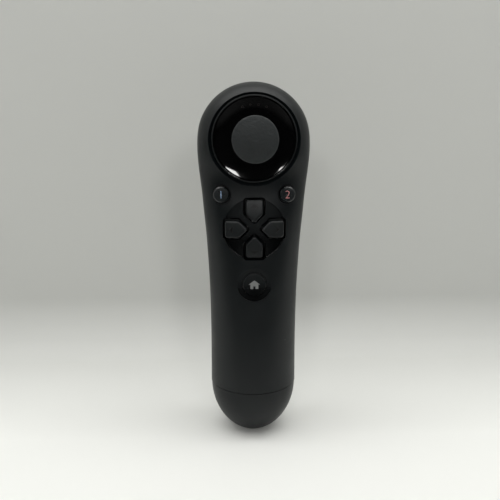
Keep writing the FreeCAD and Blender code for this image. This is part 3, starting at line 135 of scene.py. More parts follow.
def grain_group():
    """The fine, even roughness that a spark-eroded mould leaves on plastic."""
    group, start, end = new_group("moulded grain", (("Place", "Vector"), ("Fineness", "Float")),
                                  (("Height", "Float"), ("Mottle", "Float")))
    fine = add(group, "TexNoise", {"Vector": start["Place"], "Scale": start["Fineness"],
                                   "Detail": 2.0, "Roughness": 0.6})
    pits = add(group, "TexVoronoi", {"Vector": start["Place"], "Scale": start["Fineness"]},
               feature="SMOOTH_F1")
    cloudy = add(group, "TexNoise", {"Vector": start["Place"], "Scale": MOTTLE_SCALE,
                                     "Detail": 3.0, "Roughness": 0.55})
    height = calculate(group, "ADD", fine.outputs["Fac"], pits.outputs["Distance"])
    group.links.new(height, end["Height"])
    group.links.new(spread(group, cloudy.outputs["Fac"], low=0.3, high=0.7), end["Mottle"])
    return group


def handling_group():
    """What hands leave on a surface: faint broad smudges, and a few specks of dust."""
    group, start, end = new_group("handling", (("Place", "Vector"), ("Dustiness", "Float")),
                                  (("Smudge", "Float"), ("Dust", "Float")))
    smudge = add(group, "TexNoise", {"Vector": start["Place"], "Scale": SMUDGE_SCALE, "Detail": 4.0,
                                     "Roughness": 0.6, "Distortion": 0.8})
    cells = add(group, "TexVoronoi", {"Vector": start["Place"], "Scale": SPECK_SCALE})
    chance = add(group, "SeparateColor", {"Color": cells.outputs["Color"]}).outputs["Red"]
    small = calculate(group, "LESS_THAN", cells.outputs["Distance"], SPECK_SIZE)
    few = calculate(group, "LESS_THAN", chance, start["Dustiness"])
    group.links.new(spread(group, smudge.outputs["Fac"], low=0.42, high=0.68), end["Smudge"])
    group.links.new(calculate(group, "MULTIPLY", small, few), end["Dust"])
    return group


GRAIN = grain_group()
HANDLING = handling_group()


def grained(name, colour, roughness, fineness, depth, mottle=0.12, dust=0.0, dust_colour=DUST_PALE,
            metallic=0.0, smudge=0.05, mirror=0.5):
    """A moulded finish: grain in its relief, mottled colour, smudged gloss and a little dust."""
    material = finish(name, colour, roughness, metallic)
    tree, surface = material.node_tree, shader_of(material)
    surface.inputs["Specular IOR Level"].default_value = mirror
    place = place_of(tree)
    grain = add(tree, "Group", node_tree=GRAIN)
    marks = add(tree, "Group", node_tree=HANDLING)
    for node in (grain, marks):
        tree.links.new(place, node.inputs["Place"])
    grain.inputs["Fineness"].default_value = fineness
    marks.inputs["Dustiness"].default_value = dust
    relief = add(tree, "Bump", {"Height": grain.outputs["Height"], "Distance": depth})
    darker, lighter = ([part * (1 + sign * mottle) for part in colour] for sign in (-1, 1))
    body = between(tree, grain.outputs["Mottle"], darker, lighter)
    dusty = between(tree, marks.outputs["Dust"], body, dust_colour)
    gloss = add(tree, "MapRange", {"Value": marks.outputs["Smudge"], "To Min": roughness + smudge,
                                   "To Max": roughness - smudge})
    feed(surface, Base_Color=dusty, Roughness=gloss.outputs["Result"], Normal=relief.outputs["Normal"])
    return material


def board_finish():
    """Green mask over copper tracks that run in both directions and show a shade lighter."""
    material = finish("green solder mask", BOARD_GREEN, 0.35)
    tree = material.node_tree
    laid = add(tree, "Mapping", {"Vector": place_of(tree), "Rotation": (math.radians(90), 0, 0)})
    tracks = add(tree, "TexBrick", {"Vector": laid.outputs["Vector"], "Scale": TRACK_SCALE,
                                    "Mortar Size": TRACK_WIDTH, "Mortar": WHITE,
                                    "Color1": BLACK, "Color2": BLACK}).outputs["Fac"]
    relief = add(tree, "Bump", {"Height": tracks, "Distance": TRACK_RISE})
    feed(shader_of(material), Base_Color=between(tree, tracks, BOARD_GREEN, TRACK_GREEN),
         Normal=relief.outputs["Normal"])
    return material


wear(board_finish(), "main_board", "trigger_board")
wear(grained("chip resin", CHIP_BLACK, roughness=0.5, fineness=5000, depth=0.00001), "board_chips")
wear(grained("tinned sheet", TIN, roughness=0.3, fineness=1500, depth=0.000004, metallic=1.0),
     "radio_shield", "usb_socket")
wear(grained("black contact bar", CONTACT_BLACK, roughness=0.45, fineness=4000, depth=0.000005),
     "usb_tongue")

# The battery is a flat pouch cell in plain blue film. A white plug joins it to the board, and
# a strip of black foam holds it against ribs of the rear shell.
FILM_BLUE = (0.03, 0.09, 0.3)
PLUG_WHITE = (0.7, 0.7, 0.66)
FOAM_BLACK = (0.02, 0.02, 0.02)
wear(grained("blue shrink film", FILM_BLUE, roughness=0.3, fineness=700, depth=0.00002), "battery")
wear(grained("white plug plastic", PLUG_WHITE, roughness=0.45, fineness=3000, depth=0.00001),
     "battery_lead")
wear(grained("black foam", FOAM_BLACK, roughness=0.95, fineness=1600, depth=0.0002, mottle=0.4),
     "battery_pad")

# The stick's works are a pale housing on the board, a gimbal of slippery white resin that
# turns two sensors, and a metal shaft that carries the cap. The other pins, the trigger's
# bracket and its spring are of the same plated steel.
HOUSING_RESIN = (0.5, 0.5, 0.46)
GIMBAL_RESIN = (0.68, 0.67, 0.62)
SENSOR_BLACK = (0.02, 0.02, 0.022)
STEEL = (0.5, 0.5, 0.5)
wear(grained("pale resin", HOUSING_RESIN, roughness=0.5, fineness=3000, depth=0.00001),
     "stick_housing")
wear(grained("slippery white resin", GIMBAL_RESIN, roughness=0.4, fineness=3000, depth=0.000006),
     "stick_yoke", "stick_pivot", "stick_follower")
wear(grained("sensor black", SENSOR_BLACK, roughness=0.5, fineness=4000, depth=0.00001),
     "stick_sensor_side", "stick_sensor_lower", "stick_click_switch")
wear(grained("plated steel", STEEL, roughness=0.28, fineness=2600, depth=0.000003, metallic=1.0),
     "stick_shaft", "dpad_pivot", "trigger_pin", "trigger_spring", "trigger_bracket", "bracket_screws")

# The key contacts are grey silicone domes on a printed film over a moulded frame. Four lamp
# chips sit under a smoky clear moulding, whose four tips reach up to the bezel.
SILICONE_GREY = (0.22, 0.22, 0.22)
FILM_GREY = (0.1, 0.1, 0.095)
FRAME_BLACK = (0.025, 0.025, 0.027)
LAMP_WHITE = (0.6, 0.6, 0.5)
GUIDE_SMOKE = (0.006, 0.005, 0.006)
wear(grained("grey silicone", SILICONE_GREY, roughness=0.75, fineness=2500, depth=0.00002),
     "left_rubber", "right_rubber", "home_rubber", "dpad_rubber", "trigger_rubber", "shoulder_rubber")
wear(grained("contact film", FILM_GREY, roughness=0.35, fineness=900, depth=0.000005), "keypad_film")
wear(grained("frame resin", FRAME_BLACK, roughness=0.55, fineness=3000, depth=0.00001), "keypad_frame")
wear(grained("lamp chip", LAMP_WHITE, roughness=0.3, fineness=3000, depth=0.000005), "indicator_leds")
wear(grained("smoky light guide", GUIDE_SMOKE, roughness=0.2, fineness=2500, depth=0.000004),
     "indicator_lens")

# The casing is two shells of near-black plastic with a fine matt texture from the mould,
# joined on the middle plane by four screws from the back, with dust on it as pale specks. The
# hollows round the arrow pad and the home button are smoother towards the foot, and there
# they carry painted shade: their lower part is painted darker.
CASING_BLACK = (0.0020, 0.0036, 0.0044)
# Painted shade for the lower part of each hollow.
HOLLOW_PAINTED_SHADE = (0.0005, 0.0009, 0.0011)
DUST_GREY = (0.05, 0.05, 0.048)
PAD_HOLLOW, HOME_HOLLOW = 0.01155, 0.00645
HOLLOW_EDGE = 0.0001
HOLLOW_START, HOLLOW_END = 0.15, -0.4
HOLLOW_ROUGHNESS = 0.2


def fed(surface, name):
    """The socket that feeds one of the shader's inputs."""
    return surface.inputs[name].links[0].from_socket


def move_vector(tree, operation, *values):
    """The result of vector arithmetic on vectors or sockets."""
    return add(tree, "VectorMath", dict(enumerate(values)), operation=operation).outputs[0]


def casing_finish(name, shaded_hollows=()):
    """Matt plastic, smooth in the lower part of circles about the middles of nodes, where painted shade
    darkens it.
    """
    material = grained(name, CASING_BLACK, roughness=0.4, fineness=3600, depth=0.000014, mottle=0.1,
                       dust=0.012, dust_colour=DUST_GREY, smudge=0.04, mirror=0.3)
    tree, surface = material.node_tree, shader_of(material)
    place = place_of(tree)
    for node, radius in shaded_hollows:
        low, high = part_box(node)
        middle = (low + high) / 2
        away = move_vector(tree, "SUBTRACT", place, (middle.x, 0, middle.z))
        flat = move_vector(tree, "MULTIPLY", away, (1, 0, 1))
        reach = add(tree, "VectorMath", {0: flat}, operation="LENGTH").outputs["Value"]
        height = add(tree, "SeparateXYZ", {"Vector": flat}).outputs["Z"]
        inside = spread(tree, reach, radius + HOLLOW_EDGE, radius - HOLLOW_EDGE)
        lower = spread(tree, height, radius * HOLLOW_START, radius * HOLLOW_END)
        share = calculate(tree, "MULTIPLY", inside, lower)
        smooth = add(tree, "Mix", {0: share, 2: fed(surface, "Roughness"), 3: HOLLOW_ROUGHNESS},
                     data_type="FLOAT")
        # Painted shade: the colour turns darker in the lower part of each circle.
        feed(surface, Base_Color=between(tree, share, fed(surface, "Base Color"), HOLLOW_PAINTED_SHADE),
             Roughness=smooth.outputs[0])
    return material


wear(casing_finish("fine matt front with painted shade", (("dpad", PAD_HOLLOW), ("home_button", HOME_HOLLOW))), "front_shell")
wear(casing_finish("fine matt rear"), "rear_shell")

# The base cap is a separate rounded moulding, a shade smoother than the shells, with a flat
# foot round the opening of the charging port.
CAP_BLACK = (0.0022, 0.0036, 0.0044)
wear(grained("satin cap plastic", CAP_BLACK, roughness=0.38, fineness=4200, depth=0.00001, dust=0.02,
             dust_colour=DUST_GREY, mirror=0.26), "base_cap")

# The screws that hold the shells are steel, plated black, with a cross recess. Their heads
# lie in wells of the rear shell.
SCREW_GREY = (0.09, 0.09, 0.09)
wear(grained("blackened screw", SCREW_GREY, roughness=0.35, fineness=2500, depth=0.000005, metallic=1.0),
     "case_screws")

# The bezel round the stick is polished piano black, a shallow dish with a thin rounded lip and
# a matt rim outside it. It is turned anew in place of the solid's ring, for a slope smooth
# enough to mirror. Its sizes are radii about its axis, or levels forward of the middle plane.
POLISHED_BLACK = (0.0012, 0.0012, 0.0014)
BEZEL_DUST = (0.02, 0.02, 0.02)
BEZEL_HOLE, BEZEL_FLAT, BEZEL_SLOPE_END = 0.0078, 0.0092, 0.01435
BEZEL_CREST, BEZEL_OUT = 0.01495, 0.0154
BEZEL_FLOOR, BEZEL_LIP, BEZEL_BACK = 0.0094, 0.0110, 0.0066
BEZEL_BEND = 0.0224
BEZEL_THICK = 0.0012
HOLE_DRAFT = 0.0002
LIP_ROUND = 0.0003
RIM_DROP = 0.0002
SLOPE_STEPS, LIP_STEPS = 14, 4
WALL_STEPS, RIM_STEPS = 8, 8
TURN_STEPS = 160
MERGE_DISTANCE = 0.000001
SHARP_FROM_DEGREES = 30


def settle(shape, name):
    """A finished mesh as a new object in the scene, smooth but for its real edges."""
    mesh = bpy.data.meshes.new(name)
    shape.to_mesh(mesh)
    shape.free()
    mesh.shade_smooth()
    mesh.set_sharp_from_angle(angle=math.radians(SHARP_FROM_DEGREES))
    made = bpy.data.objects.new(name, mesh)
    bpy.context.scene.collection.objects.link(made)
    return made


def arc(middle, reach, start, end, steps):
    """Points on a round or oval arc, without its first. 0 degrees is out, and 90 is forward."""
    turns = [math.radians(start + (end - start) * step / steps) for step in range(1, steps + 1)]
    return [(middle[0] + reach[0] * math.cos(turn), middle[1] + reach[1] * math.sin(turn))
            for turn in turns]


def slope_level(radius):
    """How far forward the slope lies at a radius. It leaves the flat floor on one wide arc."""
    return BEZEL_FLOOR + BEZEL_BEND - math.sqrt(BEZEL_BEND ** 2 - (radius - BEZEL_FLAT) ** 2)


def turned_ring(name, outline, middle):
    """A closed half outline of (radius, forward) turned about a level axis through a place."""
    ring = bmesh.new()
    spots = [ring.verts.new((radius, -forward, 0)) for radius, forward in outline]
    edges = [ring.edges.new(pair) for pair in zip(spots, spots[1:] + spots[:1])]
    bmesh.ops.spin(ring, geom=spots + edges, cent=(0, 0, 0), axis=(0, 1, 0), angle=math.radians(360),
                   steps=TURN_STEPS, use_merge=True)
    bmesh.ops.remove_doubles(ring, verts=ring.verts, dist=MERGE_DISTANCE)
    bmesh.ops.translate(ring, vec=(middle.x, 0, middle.z), verts=ring.verts)
    bmesh.ops.recalc_face_normals(ring, faces=ring.faces)
    return settle(ring, name)


outline = [(BEZEL_HOLE, BEZEL_FLOOR)]
for step in range(SLOPE_STEPS + 1):
    radius = BEZEL_FLAT + (BEZEL_SLOPE_END - BEZEL_FLAT) * step / SLOPE_STEPS
    outline.append((radius, slope_level(radius)))
foot_out, foot_forward = outline[-1]
wall_forward = BEZEL_LIP - LIP_ROUND
outline += arc((foot_out, wall_forward), (BEZEL_CREST - LIP_ROUND - foot_out, wall_forward - foot_forward),
               -90, 0, WALL_STEPS)
outline += arc((BEZEL_CREST, wall_forward), (LIP_ROUND, LIP_ROUND), 180, 90, LIP_STEPS)
outline += arc((BEZEL_CREST, BEZEL_LIP - RIM_DROP), (BEZEL_OUT - BEZEL_CREST, RIM_DROP), 90, 0, RIM_STEPS)
outline += [(BEZEL_OUT, BEZEL_BACK), (BEZEL_HOLE + HOLE_DRAFT, BEZEL_FLOOR - BEZEL_THICK)]
low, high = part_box("stick_bezel")
middle = (low + high) / 2
bezel = turned_ring("bezel", outline, middle)
bezel.data.materials.append(grained("polished black bezel", POLISHED_BLACK, roughness=0.05, fineness=900,
                                    depth=0.0000002, dust=0.02, dust_colour=BEZEL_DUST, smudge=0.02))
bezel.data.materials.append(casing_finish("fine matt rim"))
for polygon in bezel.data.polygons:
    if math.hypot(polygon.center.x - middle.x, polygon.center.z - middle.z) > BEZEL_CREST:
        polygon.material_index = 1
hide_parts("stick_bezel")
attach(bezel, "casing")

# The four tips of the light guide end under the new bezel, which has no holes for them. Small
# smoky rounds with a fine bevel stand in for them on its upper slope, square to it.
TIP_SMOKE = (0.009, 0.007, 0.007)
LAMP_CIRCLE, LAMP_RADIUS = 0.012, 0.00042
LAMP_BEVEL, LAMP_THICK = 0.00005, 0.0001
LAMP_ANGLES = (-21, -7, 7, 21)
LAMP_SIDES = 24
lean = math.asin((LAMP_CIRCLE - BEZEL_FLAT) / BEZEL_BEND)
tips = bmesh.new()
for degrees in LAMP_ANGLES:
    turn = math.radians(degrees)
    outward = Vector((math.sin(turn), 0, math.cos(turn)))
    facing = Vector((0, -math.cos(lean), 0)) - outward * math.sin(lean)
    spot = Vector((middle.x, -slope_level(LAMP_CIRCLE), middle.z)) + outward * LAMP_CIRCLE
    turned = facing.to_track_quat("Z", "Y").to_matrix().to_4x4()
    bmesh.ops.create_cone(tips, cap_ends=True, segments=LAMP_SIDES, radius1=LAMP_RADIUS,
                          radius2=LAMP_RADIUS - LAMP_BEVEL, depth=LAMP_THICK,
                          matrix=Matrix.Translation(spot) @ turned)
lamp_tips = settle(tips, "lamp_tips")
lamp_tips.data.materials.append(grained("smoky lamp tip", TIP_SMOKE, roughness=0.25, fineness=2500,
                                        depth=0.000003))
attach(lamp_tips, "casing")

# The stick is a satin moulding whose bowl closes the bezel's hole, under a top of dark grey
# rubber with a soft pebbled field.
STICK_BLACK = (0.004, 0.004, 0.0045)
RUBBER_GREY = (0.0145, 0.0175, 0.0185)
RUBBER_DUST = (0.09, 0.09, 0.085)
PEBBLE_SCALE, PEBBLE_DEPTH = 950.0, 0.00011


def lay_under(surface, height, depth, invert=False):
    """Put a coarser relief under the grain that the shader already has."""
    tree = surface.id_data
    relief = add(tree, "Bump", {"Height": height, "Distance": depth}, invert=invert)
    tree.links.new(relief.outputs["Normal"], fed(surface, "Normal").node.inputs["Normal"])


def pebbled_rubber():
    """Matt rubber with the shallow pebbles of its mould, over a fine powdery grain."""
    material = grained("pebbled rubber", RUBBER_GREY, roughness=0.62, fineness=4200, depth=0.00001,
                       mottle=0.1, dust=0.03, dust_colour=RUBBER_DUST, mirror=0.4)
    tree = material.node_tree
    lumps = add(tree, "TexNoise", {"Vector": place_of(tree), "Scale": PEBBLE_SCALE, "Detail": 1.5,
                                   "Roughness": 0.5, "Distortion": 0.6})
    lay_under(shader_of(material), spread(tree, lumps.outputs["Fac"], low=0.35, high=0.65), PEBBLE_DEPTH)
    return material


wear(grained("satin stick plastic", STICK_BLACK, roughness=0.3, fineness=3800, depth=0.000008),
     "stick_cap")
wear(pebbled_rubber(), "stick_grip")

# The arrow pad is one satin moulding with four keys, whose corners are rounded and whose tops
# lie on one wide dome. A small arrow is cut into each key near its outer end, and painted
# dark inside as painted shade in the cut. Under the casing the solid's own plate and hub
# stay, and the keys are built up again on top of them.
KEY_BLACK = (0.0042, 0.0058, 0.0066)
# Painted shade inside each cut arrow.
ARROW_PAINTED_SHADE = (0.0004, 0.0004, 0.0005)
KEY_HALF = 0.0031
KEY_POINT, KEY_REACH = 0.0025, 0.0108
KEY_ROOT, KEY_TOP = 0.0088, 0.0129
KEY_DOME = 0.060
KEY_CORNER, KEY_CORNER_STEPS = 0.0009, 6
KEY_EDGE, KEY_EDGE_STEPS = 0.00045, 3
KEY_STRIPS_UP, KEY_STRIPS_ACROSS = 12, 8
SOLID_MERGE_DISTANCE = 0.0000002
ARROW_FOOT, ARROW_TIP = 0.0080, 0.0093
ARROW_EDGE, ARROW_DEPTH = 0.00006, 0.0003


def all_of(shape):
    """Every vertex, edge and face of a shape."""
    return shape.verts[:] + shape.edges[:] + shape.faces[:]


def trimmed_copy(node, level):
    """A copy of a node's mesh with all that stands in front of a level cut off and closed."""
    shape = bmesh.new()
    shape.from_mesh(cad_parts[node].data)
    bmesh.ops.remove_doubles(shape, verts=shape.verts, dist=SOLID_MERGE_DISTANCE)
    cut = bmesh.ops.bisect_plane(shape, geom=all_of(shape), plane_co=(0, -level, 0), plane_no=(0, -1, 0),
                                 clear_outer=True)
    rim = [part for part in cut["geom_cut"] if isinstance(part, bmesh.types.BMEdge)]
    bmesh.ops.edgeloop_fill(shape, edges=rim)
    return shape


def slice_across(shape, direction, places):
    """Cut all of a shape's faces at places along a direction, so that they can follow a dome."""
    for place in places:
        bmesh.ops.bisect_plane(shape, geom=all_of(shape), plane_co=Vector(direction) * place,
                               plane_no=direction)


def one_key():
    """The upper key, about the pad's middle, with its face in the plane y = 0."""
    key = bmesh.new()
    outline = [(0, KEY_POINT), (KEY_HALF, KEY_POINT + KEY_HALF), (KEY_HALF, KEY_REACH),
               (-KEY_HALF, KEY_REACH), (-KEY_HALF, KEY_POINT + KEY_HALF)]
    face = key.faces.new([key.verts.new((across, 0, up)) for across, up in outline])
    skin = bmesh.ops.extrude_face_region(key, geom=[face])
    moved = [part for part in skin["geom"] if isinstance(part, bmesh.types.BMVert)]
    bmesh.ops.translate(key, vec=(0, KEY_TOP - KEY_ROOT, 0), verts=moved)
    uprights = [edge for edge in key.edges if abs(edge.verts[0].co.y - edge.verts[1].co.y) > KEY_EDGE]
    bmesh.ops.bevel(key, geom=uprights, offset=KEY_CORNER, affect="EDGES", segments=KEY_CORNER_STEPS,
                    profile=0.5, material=-1)
    brim = [edge for edge in key.edges if all(vertex.co.y < KEY_EDGE / 2 for vertex in edge.verts)]
    bmesh.ops.bevel(key, geom=brim, offset=KEY_EDGE, affect="EDGES", segments=KEY_EDGE_STEPS,
                    profile=0.5, material=-1)
    slice_across(key, (0, 0, 1), [KEY_POINT + (KEY_REACH - KEY_POINT) * step / KEY_STRIPS_UP
                                  for step in range(1, KEY_STRIPS_UP)])
    slice_across(key, (1, 0, 0), [KEY_HALF * (2 * step / KEY_STRIPS_ACROSS - 1)
                                  for step in range(1, KEY_STRIPS_ACROSS)])
    for vertex in key.verts:
        if vertex.co.y < KEY_EDGE * 2:
            vertex.co.y += (vertex.co.x ** 2 + vertex.co.z ** 2) / (2 * KEY_DOME)
    bmesh.ops.recalc_face_normals(key, faces=key.faces)
    return key


def arrow_pad_finish():
    """Satin black with four cut arrows, painted dark inside as painted shade. The four keys are folded
    onto one to draw them.
    """
    material = grained("arrow pad plastic with painted shade", KEY_BLACK, roughness=0.36, fineness=4200, depth=0.000008,
                       dust=0.015, dust_colour=DUST_GREY, mirror=0.44)
    tree, surface = material.node_tree, shader_of(material)
    low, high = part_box("dpad")
    away = move_vector(tree, "SUBTRACT", place_of(tree), (low + high) / 2)
    folded = move_vector(tree, "ABSOLUTE", away)
    apart = add(tree, "SeparateXYZ", {"Vector": folded})
    along = calculate(tree, "MAXIMUM", apart.outputs["X"], apart.outputs["Z"])
    across = calculate(tree, "MINIMUM", apart.outputs["X"], apart.outputs["Z"])
    foot = calculate(tree, "SUBTRACT", ARROW_FOOT, along)
    flank = calculate(tree, "ADD", calculate(tree, "SUBTRACT", along, ARROW_TIP), across)
    outside = calculate(tree, "MAXIMUM", foot, flank)
    cut = spread(tree, outside, ARROW_EDGE, -ARROW_EDGE)
    lay_under(surface, cut, ARROW_DEPTH, invert=True)
    # Painted shade: the cut arrows are darkened in colour.
    feed(surface, Base_Color=between(tree, cut, fed(surface, "Base Color"), ARROW_PAINTED_SHADE))
    return material


low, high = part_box("dpad")
middle = (low + high) / 2
keys = one_key()
bmesh.ops.spin(keys, geom=all_of(keys), cent=(0, 0, 0), axis=(0, 1, 0), angle=math.radians(270), steps=3,
               use_duplicate=True)
bmesh.ops.translate(keys, vec=(middle.x, -KEY_TOP, middle.z), verts=keys.verts)
bmesh.ops.recalc_face_normals(keys, faces=keys.faces)
key_mesh = bpy.data.meshes.new("keys")
keys.to_mesh(key_mesh)
keys.free()
pad = trimmed_copy("dpad", KEY_ROOT)
pad.from_mesh(key_mesh)
arrow_pad = settle(pad, "arrow_pad")
arrow_pad.data.materials.append(arrow_pad_finish())
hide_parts("dpad")
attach(arrow_pad, "arrow_pad")

# The two action buttons are smooth domed caps under a thin clear lacquer. Each carries a
# printed numeral, pale blue on the left and pale red on the right.
BUTTON_BLACK = (0.0078, 0.0098, 0.0108)
LACQUER, LACQUER_ROUGHNESS = 0.15, 0.2
NUMERALS = (("left", "1", (0.28, 0.4, 0.6)), ("right", "2", (0.6, 0.24, 0.24)))
NUMERAL_SIZE, NUMERAL_THINNED, NUMERAL_STEPS = 0.0042, 0.0001, 8
PRINT_THICK = 0.00003
PRINT_STEP, PRINT_ROUNDS = 0.0004, 3
PRINT_ABOVE = 0.01


def printed_mark(name, shape, colour, node):
    """A flat mark, drawn about the origin in x and y, as a thin skin of ink on a button."""
    low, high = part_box(node)
    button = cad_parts[node]
    backward = Vector((0, 1, 0))
    bmesh.ops.triangulate(shape, faces=shape.faces)
    for turn in range(PRINT_ROUNDS):
        long = [edge for edge in shape.edges if edge.calc_length() > PRINT_STEP]
        bmesh.ops.subdivide_edges(shape, edges=long, cuts=1)
        bmesh.ops.triangulate(shape, faces=shape.faces)
    skin = bmesh.ops.extrude_face_region(shape, geom=list(shape.faces))
    raised = {part for part in skin["geom"] if isinstance(part, bmesh.types.BMVert)}
    evaluated = bpy.context.evaluated_depsgraph_get()
    for vertex in shape.verts:
        across, up = (low.x + high.x) / 2 + vertex.co.x, (low.z + high.z) / 2 + vertex.co.y
        above = Vector((across, low.y - PRINT_ABOVE, up))
        spot = button.ray_cast(above, backward, depsgraph=evaluated)[1]
        vertex.co = (across, spot.y - (PRINT_THICK if vertex in raised else -PRINT_THICK), up)
    bmesh.ops.recalc_face_normals(shape, faces=shape.faces)
    made = settle(shape, name)
    made.data.materials.append(grained(name + " ink", colour, roughness=0.4, fineness=5000, depth=0.000003,
                                       mottle=0.06))
    return made


def numeral(body):
    """A numeral as a flat shape, centred on the origin."""
    curve = bpy.data.curves.new("numeral", "FONT")
    curve.body = body
    curve.size = NUMERAL_SIZE
    curve.resolution_u = NUMERAL_STEPS
    curve.offset = -NUMERAL_THINNED
    word = bpy.data.objects.new("numeral", curve)
    shape = bmesh.new()
    shape.from_mesh(bpy.data.meshes.new_from_object(word))
    bpy.data.objects.remove(word)
    for axis in (0, 1):
        places = [vertex.co[axis] for vertex in shape.verts]
        shift = Vector((0, 0, 0))
        shift[axis] = -(min(places) + max(places)) / 2
        bmesh.ops.translate(shape, vec=shift, verts=shape.verts)
    return shape


button_finish = grained("action button plastic", BUTTON_BLACK, roughness=0.28, fineness=4200,
                        depth=0.000004, dust=0.01, dust_colour=DUST_GREY, mirror=0.42)
shader_of(button_finish).inputs["Coat Weight"].default_value = LACQUER
shader_of(button_finish).inputs["Coat Roughness"].default_value = LACQUER_ROUGHNESS
wear(button_finish, "left_button", "right_button")
for side, body, colour in NUMERALS:
    mark = printed_mark(side + "_numeral", numeral(body), colour, side + "_button")
    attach(mark, side + "_action")

# The home button is a matt disc, hollowed for the thumb and smoother in its lower half, with a
# small plain house printed on it in pale grey: a roof over a body with an open doorway. The
# lower half of its hollow is also painted darker, as painted shade.
HOUSE_GREY = (0.17, 0.175, 0.175)
ROOF_HALF, ROOF_RISE = 0.0022, 0.0016
HOUSE_HALF, HOUSE_WALL = 0.0015, 0.0017
DOOR_HALF, DOOR_HIGH = 0.0004, 0.0010
# Painted shade: the lower half of the button's hollow is painted darker.
wear(casing_finish("home button plastic with painted shade", (("home_button", HOME_HOLLOW),)), "home_button")
roof_edge = (HOUSE_WALL - ROOF_RISE) / 2
ground = roof_edge - HOUSE_WALL
right_side = [(0, roof_edge + ROOF_RISE), (ROOF_HALF, roof_edge), (HOUSE_HALF, roof_edge),
              (HOUSE_HALF, ground), (DOOR_HALF, ground), (DOOR_HALF, ground + DOOR_HIGH)]
left_side = [(-across, up) for across, up in reversed(right_side[1:])]
house = bmesh.new()
house.faces.new([house.verts.new((across, up, 0)) for across, up in right_side + left_side])
home_mark = printed_mark("home_mark", house, HOUSE_GREY, "home_button")
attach(home_mark, "home")

# The trigger and the shoulder button behind the head are satin mouldings that the fingers
# pull. The trigger turns on its pin, and the button slides straight in.
TRIGGER_BLACK = (0.0062, 0.0068, 0.0073)
wear(grained("satin trigger plastic", TRIGGER_BLACK, roughness=0.36, fineness=4000, depth=0.00001,
             dust=0.01, dust_colour=DUST_GREY, mirror=0.42), "trigger", "shoulder_button")

# The setting is a white table that runs up into a plain pale wall in one smooth sweep. The
# paint turns grey up the wall as painted shade, for the light the wall lacks. Gloss sees the
# table only close to the object, and past that a dark room, as in the photograph. From
# behind the wall is clear, so that it hides nothing.
TABLE_WHITE = (0.88, 0.885, 0.86)
# Painted shade: the wall is painted greyer than the table.
WALL_PAINTED_SHADE = (0.535, 0.54, 0.52)
ROOM_DARK = (0.02, 0.02, 0.02)
SWEEP_HALF, SWEEP_FRONT, SWEEP_TOP = 1.2, -1.5, 1.2
SWEEP_START, SWEEP_RADIUS, SWEEP_STEPS = 0.060, 0.028, 12
SHADE_START, SHADE_END = -0.01, 0.085
MIRROR_EDGE, MIRROR_END = -0.07, -0.13


def sweep_finish():
    """Matt paint, white on the table and turning grey up the wall as painted shade, one-sided and dark far
    off to gloss.
    """
    material = finish("white sweep with painted wall shade", TABLE_WHITE, 0.6)
    tree, surface = material.node_tree, shader_of(material)
    where = add(tree, "SeparateXYZ", {"Vector": place_of(tree)}).outputs
    back_and_up = calculate(tree, "ADD", where["Y"], where["Z"])
    # Painted shade: the colour turns from white to grey going back and up the sweep.
    paint = between(tree, spread(tree, back_and_up, SHADE_START, SHADE_END), TABLE_WHITE, WALL_PAINTED_SHADE)
    far = spread(tree, where["Y"], MIRROR_EDGE, MIRROR_END)
    mirrored = calculate(tree, "MULTIPLY", far, add(tree, "LightPath").outputs["Is Glossy Ray"])
    feed(surface, Base_Color=between(tree, mirrored, paint, ROOM_DARK))
    one_sided = add(tree, "MixShader", {0: add(tree, "NewGeometry").outputs["Backfacing"],
                                        1: surface.outputs[0],
                                        2: add(tree, "BsdfTransparent").outputs[0]})
    tree.links.new(one_sided.outputs[0], tree.nodes["Material Output"].inputs["Surface"])
    return material


line = [(SWEEP_FRONT, 0), (SWEEP_START, 0)]
line += arc((SWEEP_START, SWEEP_RADIUS), (SWEEP_RADIUS, SWEEP_RADIUS), -90, 0, SWEEP_STEPS)
line += [(SWEEP_START + SWEEP_RADIUS, SWEEP_TOP)]
sweep = bmesh.new()
points = [sweep.verts.new((-SWEEP_HALF, back, up)) for back, up in line]
edges = [sweep.edges.new(pair) for pair in zip(points, points[1:])]
skin = bmesh.ops.extrude_edge_only(sweep, edges=edges)
bmesh.ops.translate(sweep, vec=(2 * SWEEP_HALF, 0, 0),
                    verts=[part for part in skin["geom"] if isinstance(part, bmesh.types.BMVert)])
sweep.normal_update()
sweep.faces.ensure_lookup_table()
if sweep.faces[0].normal.z < 0:
    bmesh.ops.reverse_faces(sweep, faces=sweep.faces)
backdrop = settle(sweep, "sweep")
backdrop.data.materials.append(sweep_finish())

# The light comes from a broad ceiling panel with a narrow one behind it, two small bright
# windows high in front that show in the bezel, and a soft panel low at each side. The camera
# sees a pale room past the sweep, and the room gives little light of its own.
LIGHT_COLOUR = (1.0, 1.0, 0.98)
ROOM_COLOUR = (0.97, 0.98, 0.95, 1)
ROOM_SEEN, ROOM_LIGHT = 0.45, 0.01


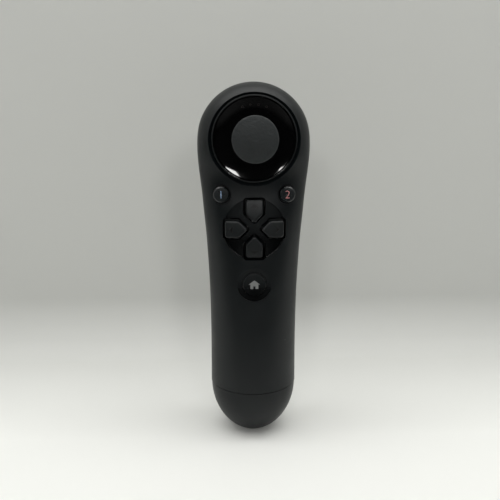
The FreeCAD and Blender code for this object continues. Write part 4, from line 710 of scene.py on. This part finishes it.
def panel(name, place, target, width, height, power):
    """A rectangular light that faces a target."""
    light = bpy.data.lights.new(name, "AREA")
    light.shape = "RECTANGLE"
    light.size = width
    light.size_y = height
    light.energy = power
    light.color = LIGHT_COLOUR
    made = bpy.data.objects.new(name, light)
    made.location = place
    made.rotation_euler = (Vector(target) - Vector(place)).to_track_quat("-Z", "Y").to_euler()
    bpy.context.scene.collection.objects.link(made)


world = bpy.data.worlds.new("room")
world.use_nodes = True
room = world.node_tree
background = room.nodes["Background"].inputs
background["Color"].default_value = ROOM_COLOUR
camera_ray = add(room, "LightPath").outputs["Is Camera Ray"]
strength = calculate(room, "MULTIPLY_ADD", camera_ray, ROOM_SEEN, ROOM_LIGHT)
room.links.new(strength, background["Strength"])
bpy.context.scene.world = world
panel("ceiling", place=(0, -0.2, 0.9), target=(0, -0.2, 0), width=1.2, height=0.7, power=5.0)
panel("ceiling_back", place=(0, 0, 0.6), target=(0, 0, 0), width=1.2, height=0.16, power=1.7)
for name, way in (("left", -1), ("right", 1)):
    panel(name + "_window", place=(way * 0.29, -1.11, 0.46), target=(0, 0, 0.118), width=0.16, height=0.16,
          power=1.7)
    panel(name + "_low", place=(way * 0.6, -0.15, 0.3), target=(0, 0, 0.07), width=0.4, height=0.4,
          power=0.45)

# The camera stands a little left of the face and looks down at it, as in the photograph. Its
# lens comes from the photograph too, as a focal length in pixels of the picture's width.
SENSOR = 36.0
FOCAL_PIXELS, PICTURE_PIXELS = 541, 500
EYE = (-0.0076, -0.2069, 0.122)
LOOK_DOWN, LOOK_RIGHT = 12.8, 1.75
camera = bpy.data.cameras.new("camera")
camera.sensor_width = SENSOR
camera.lens = SENSOR * FOCAL_PIXELS / PICTURE_PIXELS
camera.clip_start = 0.01
eye = bpy.data.objects.new("camera", camera)
eye.location = EYE
eye.rotation_euler = (math.radians(90 - LOOK_DOWN), 0, math.radians(-LOOK_RIGHT))
bpy.context.scene.collection.objects.link(eye)
bpy.context.scene.camera = eye
bpy.context.scene.view_settings.view_transform = "Standard"
